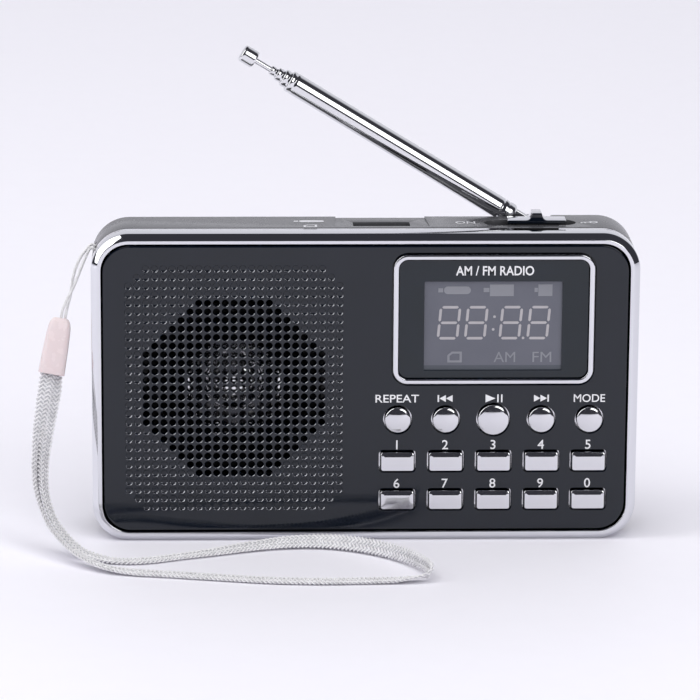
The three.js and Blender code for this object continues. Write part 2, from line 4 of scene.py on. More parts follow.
import bmesh
import bpy
from mathutils import Matrix, Vector

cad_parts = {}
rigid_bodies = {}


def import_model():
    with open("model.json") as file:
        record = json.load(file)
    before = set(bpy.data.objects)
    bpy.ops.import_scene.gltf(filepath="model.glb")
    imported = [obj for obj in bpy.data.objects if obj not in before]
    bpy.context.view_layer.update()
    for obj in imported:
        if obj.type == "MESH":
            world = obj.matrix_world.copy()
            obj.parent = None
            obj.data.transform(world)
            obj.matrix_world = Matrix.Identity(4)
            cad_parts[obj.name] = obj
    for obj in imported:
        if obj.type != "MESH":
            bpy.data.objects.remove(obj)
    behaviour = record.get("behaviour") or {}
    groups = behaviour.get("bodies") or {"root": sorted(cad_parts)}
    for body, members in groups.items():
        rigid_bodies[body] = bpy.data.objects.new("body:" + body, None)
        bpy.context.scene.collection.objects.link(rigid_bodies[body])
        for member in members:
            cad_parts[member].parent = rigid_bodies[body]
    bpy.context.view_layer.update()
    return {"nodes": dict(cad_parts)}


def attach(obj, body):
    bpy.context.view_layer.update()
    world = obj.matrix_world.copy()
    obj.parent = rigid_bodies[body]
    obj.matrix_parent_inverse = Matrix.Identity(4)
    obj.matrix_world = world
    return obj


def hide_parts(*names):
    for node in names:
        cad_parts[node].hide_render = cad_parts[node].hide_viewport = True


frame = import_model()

# Pocket radio with a telescopic antenna and a wrist strap.
# Shapes are worked out in millimetres, x to the right, y to the back and z up, and stored in metres.
MM = 0.001

# ---- sizes
def plate(x, z, w, h, r):
    """A rounded rectangle: its middle, size and corner radius."""
    return {"x": x, "z": z, "w": w, "h": h, "r": r}


CASE_W, CASE_H, CASE_R = 121.6, 70.4, 8.4
MID_Z = CASE_H / 2
CASE = plate(0, MID_Z, CASE_W, CASE_H, CASE_R)
PANEL_Y = -11.5
BACK_Y = 12.5
SEAM_Y = -5.2
PANEL = plate(0, MID_Z, 116.4, 65.2, 6.0)
PANEL_T = 1.8
GAP = 0.3
WALL = 2.0
SHELL_EDGE = 0.12  # bevel along the shell's cut edges

GRILLE = {"x": -29.2, "z": 35.34, "pitch": 1.95}
HOLE_STEPS = 16
# (radius, depth) from the flat face over the rounded rim, into a hole and into a dimple
RIM = [(0.92, 0), (0.87, 0), (0.82, 0.013), (0.78, 0.05), (0.755, 0.11)]
HOLE_WALL = [(0.75, 0.2), (0.75, PANEL_T)]
DIMPLE_WALL = [(0.72, 0.19), (0.66, 0.21)]

TRIM = plate(28.37, 51.09, 44.6, 29.5, 3.3)
TRIM_BAND = 1.15
LCD_X0, LCD_X1, LCD_Z0, LCD_Z1 = 12.93, 43.56, 39.33, 59.65
LCD_X, LCD_Z = (LCD_X0 + LCD_X1) / 2, (LCD_Z0 + LCD_Z1) / 2
LCD_FACE_Y = PANEL_Y + 0.62
DIGIT_X, DIGIT_Z = [15.73, 21.79, 29.47, 35.67], 46.31
DIGIT_W, DIGIT_H, DIGIT_STROKE = 4.8, 7.66, 0.58

KEY_Y = -12.5
FLANGE_Y0, FLANGE_Y1, STEM_Y = -9.35, -8.6, -7.4
BUTTON_X = [7.25, 17.96, 28.59, 39.31, 50.06]
BUTTON_Z = 28.04
BUTTON_NAMES = ["repeat", "previous", "play", "next", "mode"]
BUTTON_RADIUS = [2.95, 2.95, 3.5, 2.95, 2.95]
DOME_DROP = 0.36
KEY_X = [7.26, 18.05, 28.75, 39.46, 50.01]
KEY_Z = [18.44, 9.54]
KEY_PLACES = [(x, z) for z in KEY_Z for x in KEY_X]
KEY_W, KEY_H, KEY_R = 7.7, 4.4, 0.7

PORT = {"x": 3.75, "y": -0.3, "w": 12.7, "d": 4.8}
SLOT = {"x0": 26.7, "x1": 47.2, "y": 0.25, "d": 5.3}
SLIDER = {"x": 38.35, "w": 13.1, "d": 4.2, "rise": 0.95, "nub": 2.6}

PIVOT = Vector((37.5, 9.4, 67.59))
TILT = radians(31.5)
MAST = Matrix.Translation(PIVOT) @ Matrix.Rotation(TILT - pi / 2, 4, "Y")
# name, body, outer and inner radius, start, end, and the radius of what slides in it
TUBES = [
    ("antenna_tube_1", "antenna_mast", 2.5, 2.2, 7.8, 63.7, 2.0),
    ("antenna_tube_2", "antenna_tube_2", 2.0, 1.72, 12.0, 65.3, 1.5),
    ("antenna_tube_3", "antenna_tube_3", 1.5, 1.27, 13.0, 66.9, 1.05),
    ("antenna_tube_4", "antenna_tube_4", 1.05, 0.85, 14.0, 68.5, 0.65),
]
CHANNEL = {"x1": 42.3, "z": 64.55, "y": 6.6}
BAY, BAY_WALL = (-28, 30.6), 1.4  # the battery bay from left to right
COVER = {"w": 62.0, "z1": 46.4, "y": 10.9}
CORD_HOLES_Y = (-3.9, -0.5)
SCREWS = [(-52, 9), (52, 9), (-52, 57.5), (52, 57.5)]

# ---- camera
# Long lens, a little to the left of the front and above it.
CAM_AZIMUTH, CAM_ELEVATION, CAM_ROLL = -2.10, 14.45, 0.38
CAM_TARGET = Vector((-3.49, PANEL_Y, 44.12))
CAM_DISTANCE = 924.3
CAM_LENS = 214.3


def add_object(name, data):
    obj = bpy.data.objects.new(name, data)
    bpy.context.collection.objects.link(obj)
    return obj


def add_camera():
    azimuth, elevation = radians(CAM_AZIMUTH), radians(CAM_ELEVATION)
    back = Vector((sin(azimuth) * cos(elevation), -cos(azimuth) * cos(elevation), sin(elevation)))
    turn = (-back).to_track_quat("-Z", "Y").to_matrix() @ Matrix.Rotation(radians(CAM_ROLL), 3, "Z")
    camera = add_object("camera", bpy.data.cameras.new("camera"))
    camera.data.lens = CAM_LENS
    camera.data.sensor_width = 36
    camera.data.clip_start = 0.01
    camera.matrix_world = Matrix.Translation((CAM_TARGET + back * CAM_DISTANCE) * MM) @ turn.to_4x4()
    bpy.context.scene.camera = camera


# ---- materials
def new_material(name, color, roughness, metallic=0.0, **sockets):
    material = bpy.data.materials.new(name)
    material.use_nodes = True
    shader = material.node_tree.nodes["Principled BSDF"]
    shader.inputs["Base Color"].default_value = (*color, 1)
    shader.inputs["Roughness"].default_value = roughness
    shader.inputs["Metallic"].default_value = metallic
    for socket, value in sockets.items():
        shader.inputs[socket.replace("_", " ")].default_value = value
    return material


def add_node(tree, kind, values=(), **sources):
    """A shader node with its input values, fed by the sockets named after its inputs."""
    node = tree.nodes.new(f"ShaderNode{kind}")
    for socket, value in dict(values).items():
        node.inputs[socket].default_value = value
    for socket, source in sources.items():
        tree.links.new(source, node.inputs[socket])
    return node


def feed(material, socket, source):
    material.node_tree.links.new(source, material.node_tree.nodes["Principled BSDF"].inputs[socket])


def noise(material, scale, detail=3.0, stretch=(1, 1, 1)):
    """The value of a noise texture in object space, in cycles per metre."""
    tree = material.node_tree
    place = add_node(tree, "TexCoord")
    mapping = add_node(tree, "Mapping", {"Scale": stretch}, Vector=place.outputs["Object"])
    values = {"Scale": scale, "Detail": detail}
    return add_node(tree, "TexNoise", values, Vector=mapping.outputs["Vector"]).outputs["Fac"]


def vary_roughness(material, fac, low, high):
    span = {"From Min": 0.3, "From Max": 0.7, "To Min": low, "To Max": high}
    feed(material, "Roughness", add_node(material.node_tree, "MapRange", span, Value=fac).outputs["Result"])


def vary_color(material, fac, dark, light):
    ramp = add_node(material.node_tree, "ValToRGB", Fac=fac)
    for stop, position, color in zip(ramp.color_ramp.elements, (0.35, 0.65), (dark, light)):
        stop.position = position
        stop.color = (*color, 1)
    feed(material, "Base Color", ramp.outputs["Color"])


def bump(material, fac, strength, depth_mm):
    values = {"Strength": strength, "Distance": depth_mm * MM}
    feed(material, "Normal", add_node(material.node_tree, "Bump", values, Height=fac).outputs["Normal"])


def chrome(name, color, roughness=(0.03, 0.07)):
    material = new_material(name, color, roughness[0], 1.0)
    vary_roughness(material, noise(material, 900), *roughness)
    bump(material, noise(material, 60, 1.0), 0.05, 0.02)
    return material


def plastic(name, dark, light, roughness, grain=2500, bumpiness=0.04, **sockets):
    material = new_material(name, dark, roughness[0], **sockets)
    vary_color(material, noise(material, 140), dark, light)
    vary_roughness(material, noise(material, 500), *roughness)
    bump(material, noise(material, grain, 2.0), bumpiness, 0.02)
    return material


def brushed(name, color, roughness, stretch):
    material = new_material(name, color, roughness[0], 1.0)
    streaks = noise(material, 1500, 4.0, stretch)
    vary_roughness(material, streaks, *roughness)
    bump(material, streaks, 0.08, 0.01)
    return material


def yarn_material(name, color):
    """Polyester yarn: fine fibres along it, a soft sheen and slight shade changes."""
    material = new_material(name, color, 0.55, Sheen_Weight=0.35, Sheen_Roughness=0.4)
    shade = tuple(c * 0.86 for c in color)
    vary_color(material, noise(material, 700), shade, color)
    bump(material, noise(material, 9000, 2.0), 0.35, 0.03)
    return material


CHROME = chrome("chrome_plating", (0.72, 0.725, 0.755))
BUTTON_CHROME = chrome("button_plating", (0.69, 0.69, 0.715), (0.05, 0.10))
GLOSS_BLACK = plastic("gloss_black", (0.002, 0.005, 0.011), (0.003, 0.006, 0.013), (0.06, 0.10), 350, 0.015)
HOLE_BLACK = plastic("hole_black", (0.004, 0.004, 0.005), (0.006, 0.006, 0.008), (0.25, 0.35))
SHELL_BLACK = plastic("shell_black", (0.070, 0.070, 0.077), (0.075, 0.075, 0.083), (0.22, 0.28), 1200, 0.01,
                      Specular_IOR_Level=0.75)
PRINT_BLACK = plastic("window_black", (0.002, 0.007, 0.012), (0.003, 0.008, 0.015), (0.04, 0.07), 300, 0.01)
LCD_GREY = plastic("lcd_grey", (0.116, 0.121, 0.151), (0.124, 0.129, 0.160), (0.10, 0.16), 800, 0.01)
LCD_EDGE = plastic("lcd_edge", (0.070, 0.079, 0.098), (0.076, 0.086, 0.106), (0.12, 0.18))
SEGMENT = plastic("lcd_segment", (0.43, 0.41, 0.43), (0.46, 0.44, 0.46), (0.3, 0.4))
FAINT_SEGMENT = plastic("lcd_faint", (0.23, 0.235, 0.265), (0.25, 0.255, 0.285), (0.3, 0.4))
INK = plastic("white_ink", (0.80, 0.80, 0.82), (0.90, 0.90, 0.92), (0.35, 0.5), 4000, 0.1)
TOP_INK = plastic("top_ink", (0.62, 0.62, 0.66), (0.72, 0.72, 0.76), (0.4, 0.5), 4000, 0.1)
# Metal for the lower rims of the grille's holes and dimples only: a painted highlight, the bright arcs of the
# lamps on the black moulding.
RIM_PAINTED_HIGHLIGHT = chrome("rim_gloss", (0.66, 0.67, 0.70), (0.08, 0.14))
# Near black for the steel speaker basket is painted shade: it keeps the cavity behind the grille dark under
# the fill light.
BASKET_SHADE_BLACK = plastic("painted_steel", (0.008, 0.008, 0.009), (0.012, 0.012, 0.013), (0.5, 0.6))
STEEL = brushed("steel", (0.62, 0.62, 0.64), (0.22, 0.38), (1, 12, 12))
ANTENNA_CHROME = chrome("antenna_plating", (0.74, 0.745, 0.76), (0.05, 0.09))
FLOOR = plastic("floor_white", (0.90, 0.885, 0.95), (0.905, 0.89, 0.955), (0.55, 0.62), 300, 0.01,
                Specular_IOR_Level=0.15)
BRASS = brushed("contact_brass", (0.80, 0.60, 0.27), (0.18, 0.30), (12, 1, 12))
CONE_FILM = chrome("cone_film", (0.75, 0.75, 0.77), (0.08, 0.14))
FELT = plastic("gasket_felt", (0.003, 0.003, 0.004), (0.006, 0.006, 0.007), (0.85, 0.95), 5000, 0.5)
BOARD = plastic("board_green", (0.012, 0.085, 0.035), (0.018, 0.12, 0.05), (0.3, 0.4), 600, 0.1)
BATTERY = plastic("battery_label", (0.30, 0.32, 0.35), (0.36, 0.38, 0.41), (0.35, 0.5))
CLAMP_PINK = plastic("clamp_pink", (0.785, 0.675, 0.685), (0.795, 0.685, 0.695), (0.22, 0.30), 900, 0.05,
                     Subsurface_Weight=0.15, Subsurface_Radius=(0.002, 0.0012, 0.001))
YARN = yarn_material("strap_yarn", (0.92, 0.91, 0.93))
# The core's grey is painted shade: it shows in the gaps between the white yarns, where the braid is in shade.
BRAID_GAP_SHADE = yarn_material("strap_core", (0.60, 0.60, 0.63))
CORD_YARN = yarn_material("cord_yarn", (0.95, 0.945, 0.955))
SEAM_DARK = plastic("seam_dark", (0.006, 0.006, 0.007), (0.010, 0.010, 0.012), (0.5, 0.6))


# ---- mesh helpers
SHARP = 32  # degrees past which an edge shows
WELD = 1e-5  # mm within which two points are one


def finish_piece(obj, body, replaces):
    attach(obj, body)
    if replaces:
        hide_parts(*replaces)
    return obj


def smooth(mesh, sharp):
    mesh.shade_smooth()
    mesh.set_sharp_from_angle(angle=radians(sharp))


def object_from(bm, name, materials, sharp=SHARP):
    """A smooth-shaded object, with sharp edges past an angle, from a bmesh in millimetres."""
    bmesh.ops.remove_doubles(bm, verts=bm.verts, dist=WELD)
    bmesh.ops.recalc_face_normals(bm, faces=bm.faces)
    bmesh.ops.scale(bm, vec=(MM, MM, MM), verts=bm.verts)
    mesh = bpy.data.meshes.new(name)
    bm.to_mesh(mesh)
    bm.free()
    smooth(mesh, sharp)
    for material in materials:
        mesh.materials.append(material)
    return add_object(name, mesh)


def piece(bm, name, material, body="case", replaces=(), sharp=SHARP):
    materials = material if isinstance(material, list) else [material]
    return finish_piece(object_from(bm, name, materials, sharp), body, replaces)


def chromed(bm, name, node, material=CHROME, body="case", sharp=SHARP):
    return piece(bm, name, material, body, [node], sharp)


def arc(cx, cy, radius, start, end, steps):
    """Points on an arc, in degrees."""
    spans = [radians(start + (end - start) * i / steps) for i in range(steps + 1)]
    return [(cx + radius * cos(t), cy + radius * sin(t)) for t in spans]


def rounded(x, z, w, h, r, steps=8):
    """Points of a rounded rectangle in the X-Z plane."""
    points = []
    for sx, sz, start in ((1, -1, -90), (1, 1, 0), (-1, 1, 90), (-1, -1, 180)):
        points += arc(x + sx * (w / 2 - r), z + sz * (h / 2 - r), r, start, start + 90, steps)
    return points


def inset(outline, amount):
    return {**outline, "w": outline["w"] - 2 * amount, "h": outline["h"] - 2 * amount,
            "r": max(outline["r"] - amount, 0.05)}


def circle(radius, segments):
    turns = (2 * pi * i / segments for i in range(segments))
    return [(radius * cos(turn), radius * sin(turn)) for turn in turns]


def bridge(bm, first, second):
    count = len(first)
    for i in range(count):
        j = (i + 1) % count
        bm.faces.new((first[i], first[j], second[j], second[i]))


def add_loft(bm, rings, caps=True, closed=False):
    """Joins rings of 3D points that all have the same count."""
    rows = [[bm.verts.new(point) for point in ring] for ring in rings]
    for first, second in zip(rows, rows[1:]):
        bridge(bm, first, second)
    if closed:
        bridge(bm, rows[-1], rows[0])
    elif caps:
        bm.faces.new(rows[0])
        bm.faces.new(rows[-1])
    return rows


def outline_ring(outline, amount, y, steps):
    """The outline, drawn in by an amount, as a ring of points at depth y."""
    return [(x, y, z) for x, z in rounded(steps=steps, **inset(outline, amount))]


def add_outline_loft(bm, outline, profile, steps=8, closed=False, caps=True):
    """Sweeps (inset, y) points round a rounded rectangle."""
    rings = [outline_ring(outline, amount, y, steps) for amount, y in profile]
    return add_loft(bm, rings, caps, closed)


def add_turned(bm, profile, centre=(0, 0, 0), axis="Z", segments=40):
    """Turns (radius, height) points about an axis through centre."""
    rings = []
    for radius, height in profile:
        ring = []
        for a, b in circle(max(radius, 0.001), segments):
            offset = {"X": (height, a, b), "Y": (a, height, b), "Z": (a, b, height)}[axis]
            ring.append(Vector(centre) + Vector(offset))
        rings.append(ring)
    closed = profile[0] == profile[-1]
    if closed:
        rings.pop()
    return add_loft(bm, rings, closed=closed)


def add_box(bm, x0, x1, y0, y1, z0, z1):
    size = Matrix.Diagonal((x1 - x0, y1 - y0, z1 - z0, 1))
    centre = Matrix.Translation(((x0 + x1) / 2, (y0 + y1) / 2, (z0 + z1) / 2))
    bmesh.ops.create_cube(bm, size=1, matrix=centre @ size)


def add_prism(bm, points, place, low, high):
    """A flat outline pushed from low to high; place(a, b, depth) gives the 3D point."""
    add_loft(bm, [[place(a, b, depth) for a, b in points] for depth in (low, high)])


def on_front(a, b, depth):
    return (a, depth, b)


def on_top(a, b, depth):
    return (a, b, depth)


def evaluated_mesh(obj):
    """A mesh of the object's own, with its modifiers or its letters worked out."""
    bpy.context.view_layer.update()
    return bpy.data.meshes.new_from_object(obj.evaluated_get(bpy.context.evaluated_depsgraph_get()))


def cut(obj, cutters, bevel_mm=0.0):
    """Cuts closed bmesh shapes, in millimetres, out of an object for good."""
    tools = bpy.data.collections.new("cutters")
    for i, bm in enumerate(cutters):
        tool = object_from(bm, f"cutter_{i}", [])
        bpy.context.collection.objects.unlink(tool)
        tools.objects.link(tool)
    bpy.context.scene.collection.children.link(tools)
    if cutters:
        modifier = obj.modifiers.new("cut", "BOOLEAN")
        modifier.operation = "DIFFERENCE"
        modifier.solver = "EXACT"
        modifier.operand_type = "COLLECTION"
        modifier.collection = tools
    if bevel_mm:
        edge = obj.modifiers.new("edges", "BEVEL")
        edge.width = bevel_mm * MM
        edge.segments = 2
        edge.limit_method = "ANGLE"
        edge.angle_limit = radians(40)
        edge.use_clamp_overlap = True
    result = evaluated_mesh(obj)
    obj.modifiers.clear()
    obj.data = result
    for tool in list(tools.objects):
        bpy.data.objects.remove(tool)
    bpy.data.collections.remove(tools)
    smooth(obj.data, SHARP)


def shape(builder, *args, **kwargs):
    """A bmesh of its own, made by one add_ function."""
    bm = bmesh.new()
    builder(bm, *args, **kwargs)
    return bm


def box(*sides):
    return shape(add_box, *sides)


def prism(points, place, low, high):
    return shape(add_prism, points, place, low, high)


def turned(profile, centre=(0, 0, 0), **kwargs):
    return shape(add_turned, profile, centre, **kwargs)


def spline(points, spacing):
    """Points a steady distance apart along a smooth curve; a point may carry more numbers after x, y, z."""
    fine = []
    ends = [points[0] * 2 - points[1], *points, points[-1] * 2 - points[-2]]
    for a, b, c, d in zip(ends, ends[1:], ends[2:], ends[3:]):
        for i in range(40):
            t = i / 40
            bend = (2 * a - 5 * b + 4 * c - d) * t ** 2 + (3 * b - a - 3 * c + d) * t ** 3
            fine.append((2 * b + (c - a) * t + bend) * 0.5)
    fine.append(points[-1].copy())
    lengths = [0.0]
    for a, b in zip(fine, fine[1:]):
        lengths.append(lengths[-1] + Vector((b - a)[:3]).length)
    count = max(2, round(lengths[-1] / spacing))
    result, k = [], 0
    for i in range(count + 1):
        target = lengths[-1] * i / count
        while k < len(fine) - 2 and lengths[k + 1] < target:
            k += 1
        part = (target - lengths[k]) / max(lengths[k + 1] - lengths[k], 1e-9)
        part = min(1.0, max(0.0, part))
        result.append(fine[k] * (1 - part) + fine[k + 1] * part)
    return result


def tangents(points):
    ends = [points[0], *points, points[-1]]
    return [(after - before).normalized() for before, after in zip(ends, ends[2:])]


def path_length(points):
    return sum((b - a).length for a, b in zip(points, points[1:]))


# ---- strap
# A thin doubled cord round the bar in the case's corner, a clamp, and a flat braided loop.
CORD_LENGTH, CORD_DIAMETER = 50.0, 0.72
STRAND, STRAND_LAY = 0.19, 1.8  # a strand's radius, and the length in which it goes round once
CORD_STEP = 0.16
CORD_ROUTE = [
    (-67.7, -6.0, 49.6), (-67.4, -5.9, 51.2), (-67.0, -5.8, 52.7), (-66.1, -5.4, 54.6), (-65.1, -5.2, 56.4),
    (-64.3, -5.0, 58.2), (-63.4, -4.8, 60.5), (-62.5, -4.5, 62.7), (-61.7, -4.2, 64.5), (-61.2, -4.0, 65.4),
    (-60.7, -3.9, 65.7), (-60.1, -3.9, 65.4), (-58.3, -3.9, 64.6), (-57.1, -3.8, 64.1), (-56.2, -3.2, 63.7),
    (-55.9, -2.2, 63.6), (-56.2, -1.2, 63.7), (-57.1, -0.6, 64.1), (-58.3, -0.5, 64.6), (-60.1, -0.5, 65.4),
    (-60.9, -0.7, 65.7), (-61.9, -1.7, 64.9), (-63.2, -2.5, 63.3), (-64.3, -3.2, 61.0), (-65.0, -3.6, 58.6),
    (-65.3, -3.9, 56.6), (-65.6, -4.4, 54.6), (-66.2, -4.9, 52.5), (-66.5, -5.2, 51.0), (-66.8, -5.3, 49.4),
]
CLAMP_TOP = Vector((-67.6, -5.5, 50.1))
CLAMP_END = Vector((-69.8, -8.5, 38.0))
CLAMP_SQUARENESS = 3.2  # 2 is an oval, more is squarer
# (part of the length, width, thickness), down the outside and back up inside its open foot
CLAMP_STATIONS = [
    (0.0, 1.2, 1.0), (0.0, 2.6, 1.7), (0.015, 3.4, 2.3), (0.045, 4.1, 2.9), (0.09, 4.6, 3.3),
    (0.16, 5.0, 3.6), (0.3, 5.3, 3.9), (0.55, 5.6, 4.1), (0.85, 5.8, 4.2), (0.98, 5.9, 4.3),
    (1.0, 5.75, 4.15), (1.0, 5.1, 3.5), (0.985, 4.95, 3.35), (0.8, 4.7, 3.1),
]

BAND_LENGTH, BAND_WIDTH = 250.0, 3.8
BAND_STEP = 0.15
# Each entry is a point on the band's centreline, then the direction of its width.
BAND_ROUTE = [
    (-69.0, -7.7, 39.8, 1, 0.1, -0.25), (-69.1, -8.2, 37.4, 1, 0.1, -0.25),
    (-69.3, -8.8, 33.9, 1, 0.2, -0.2), (-70.2, -10.0, 29.0, 0.9, 0.4, -0.1),
    (-71.0, -11.8, 23.7, 0.75, 0.65, 0), (-71.5, -13.6, 19.1, 0.6, 0.8, 0),
    (-71.5, -15.6, 15.1, 0.5, 0.85, 0), (-70.8, -17.8, 11.3, 0.4, 0.9, 0),
    (-69.2, -20.0, 7.6, 0.3, 0.95, 0.1), (-66.6, -22.4, 4.6, 0.2, 1, 0.15),
    (-63.2, -24.5, 2.0, 0.1, 1, 0.15), (-59.4, -26.3, 0.9, 0, 1, 0.1), (-55.0, -28.0, 0.6, 0, 1, 0),
    (-49.0, -27.9, 0.6, 0, 1, 0), (-41.3, -24.9, 0.6, -0.3, 1, 0), (-33.5, -22.1, 0.8, -0.2, 1, 0.12),
    (-25.7, -19.2, 1.1, 0, 1, 0.3), (-17.9, -17.5, 1.5, 0, 0.85, 0.5), (-10.1, -17.7, 1.8, 0, 0.7, 0.7),
    (-3.5, -20.0, 2.0, 0, 0.5, 0.85), (3.0, -24.2, 2.1, 0.2, 0.3, 0.95), (8.3, -29.8, 2.2, 0.1, 0.1, 1),
    (11.5, -34.9, 2.2, 0, 0, 1), (13.1, -39.1, 2.2, 0.2, -0.1, 1), (13.1, -41.6, 1.9, 0.3, -0.5, 0.8),
    (11.4, -42.7, 1.4, 0.2, -0.9, 0.4), (6.5, -43.1, 0.8, 0, -1, 0.1), (0.0, -43.2, 0.6, 0, -1, 0),
    (-10.8, -43.5, 0.6, 0, -1, 0), (-21.7, -42.6, 0.6, 0, -1, 0), (-32.5, -40.4, 0.6, 0, -1, 0),
    (-43.4, -38.0, 0.6, 0, -1, 0), (-51.6, -36.5, 0.7, 0, -1, 0), (-57.1, -34.9, 1.2, 0, -1, 0.1),
    (-61.5, -31.6, 2.0, 0, -1, 0.1), (-65.4, -27.8, 3.3, 0, -1, 0.2), (-68.5, -24.4, 5.4, 0, -1, 0.2),
    (-70.8, -21.4, 8.0, 0, -1, 0.2), (-72.5, -18.4, 11.8, -0.1, -1, 0.2),
    (-73.2, -16.2, 15.7, -0.3, -0.9, 0.2), (-73.1, -14.0, 20.9, -0.5, -0.8, 0.2),
    (-72.4, -12.2, 26.1, -0.8, -0.5, 0.2), (-71.6, -10.8, 31.5, -1, -0.3, 0.2),
    (-70.7, -9.4, 36.9, -1, -0.1, 0.25), (-70.2, -8.6, 39.4, -1, -0.1, 0.25),
]

CORE = [(-1.35, 0), (-1.2, -0.08), (1.2, -0.08), (1.35, 0), (1.2, 0.08), (-1.2, 0.08)]
YARNS = 7
BRAID_PERIOD = 6.6  # length in which a yarn crosses the band and comes back
YARN_HALF_WIDTH = 0.275
YARN_HALF_THICKNESS = 0.17
YARN_LIFT = 0.25


def strap_frames():
    """(point, width direction, thickness direction) along the band."""
    line = spline([Vector(entry) for entry in BAND_ROUTE], BAND_STEP)
    points = [Vector(entry[:3]) for entry in line]
    frames = []
    for entry, point, tangent in zip(line, points, tangents(points)):
        thick = tangent.cross(Vector(entry[3:])).normalized()
        frames.append((point, thick.cross(tangent), thick))
    return frames


def add_yarn(bm, frames, step, phase):
    """One yarn that runs from edge to edge of the braid, on top in every other column of stitches."""
    reach = BAND_WIDTH / 2 - YARN_HALF_WIDTH
    rings = []
    for i, (point, wide, thick) in enumerate(frames):
        turn = (i * step / BRAID_PERIOD + phase) % 1.0
        heading = 1 if turn < 0.5 else -1
        across = 4 * turn - 1 if turn < 0.5 else 3 - 4 * turn
        lift = heading * sin(2 * pi * across)
        centre = point + wide * (across * reach) + thick * (lift * YARN_LIFT)
        rings.append([centre + wide * (a * YARN_HALF_WIDTH) + thick * (b * YARN_HALF_THICKNESS)
                      for a, b in circle(1, 6)])
    add_loft(bm, rings)


def strap_band():
    frames = strap_frames()
    path = [point for point, _, _ in frames]
    step = path_length(path) / (len(path) - 1)
    bm = bmesh.new()
    for k in range(YARNS):
        add_yarn(bm, frames, step, (k + 0.5) / YARNS)
    # the core under the yarns takes the grey of the painted shade in the braid's gaps
    first_core_face = len(bm.faces)
    add_loft(bm, [[p + w * a + t * b for a, b in CORE] for p, w, t in frames[::5]])
    bm.faces.ensure_lookup_table()
    for face in bm.faces[first_core_face:]:
        face.material_index = 1
    band = piece(bm, "woven_band", [YARN, BRAID_GAP_SHADE], replaces=["strap_band"], sharp=80)


def strap_cord():
    """Three-strand twisted cord, so its surface shows the lay of the strands."""
    path = spline([Vector(p) for p in CORD_ROUTE], CORD_STEP)
    bm = bmesh.new()
    frames, normal = [], Vector((0, 1, 0))
    for point, tangent in zip(path, tangents(path)):
        normal = (normal - tangent * normal.dot(tangent)).normalized()
        frames.append((point, normal, tangent.cross(normal)))
    for k in range(3):
        rings = []
        for i, (point, a, b) in enumerate(frames):
            turn = 2 * pi * (i * CORD_STEP / STRAND_LAY + k / 3)
            out = a * cos(turn) + b * sin(turn)
            side = b * cos(turn) - a * sin(turn)
            centre = point + out * (CORD_DIAMETER / 2 - STRAND)
            rings.append([centre + out * p + side * q for p, q in circle(STRAND, 8)])
        add_loft(bm, rings)
    cord = piece(bm, "wrist_cord", CORD_YARN, replaces=["strap_loop"], sharp=80)


def strap_clamp():
    """A flattened tube with a rounded narrow top and an open foot with a rolled rim."""
    axis = (CLAMP_END - CLAMP_TOP).normalized()
    length = (CLAMP_END - CLAMP_TOP).length
    thick = axis.cross(Vector((1, 0, 0))).normalized()
    wide = thick.cross(axis)
    rings = []
    for along, w, t in CLAMP_STATIONS:
        centre = CLAMP_TOP + axis * (along * length)
        ring = []
        for a, b in circle(1, 40):
            square = (abs(a) ** CLAMP_SQUARENESS + abs(b) ** CLAMP_SQUARENESS) ** (-1 / CLAMP_SQUARENESS)
            ring.append(centre + wide * (a * square * w / 2) + thick * (b * square * t / 2))
        rings.append(ring)
    tube = shape(add_loft, rings)
    return piece(tube, "cord_clamp", CLAMP_PINK, replaces=["strap_clamp"], sharp=60)


# ---- case
def chrome_frame():
    """The frame's section: a front lip, a wide bevel, the straight side and the seam behind."""
    profile = [
        (2.2, -11.62), (2.14, -11.76), (2.02, -11.8), (1.42, -11.8), (1.32, -11.78), (1.24, -11.72),
        (0.14, -10.66), (0.06, -10.56), (0.0, -10.4), (0.0, -5.5), (0.05, -5.4), (0.15, -5.36), (2.2, -5.36),
    ]
    frame_ring = shape(add_outline_loft, CASE, profile, steps=20, closed=True)
    chromed(frame_ring, "front_frame", "chrome_frame", sharp=50)


def add_shell_outside(bm):
    turn_start, turn_in = 7.4, 5.2
    turn_back = BACK_Y - turn_start
    profile = [(0.15, SEAM_Y + 0.15), (0.0, SEAM_Y + 0.3)]
    profile += [(turn_in * (1 - a), turn_start + turn_back * b) for a, b in arc(0, 0, 1, 0, 90, 14)]
    add_outline_loft(bm, CASE, profile, steps=16)


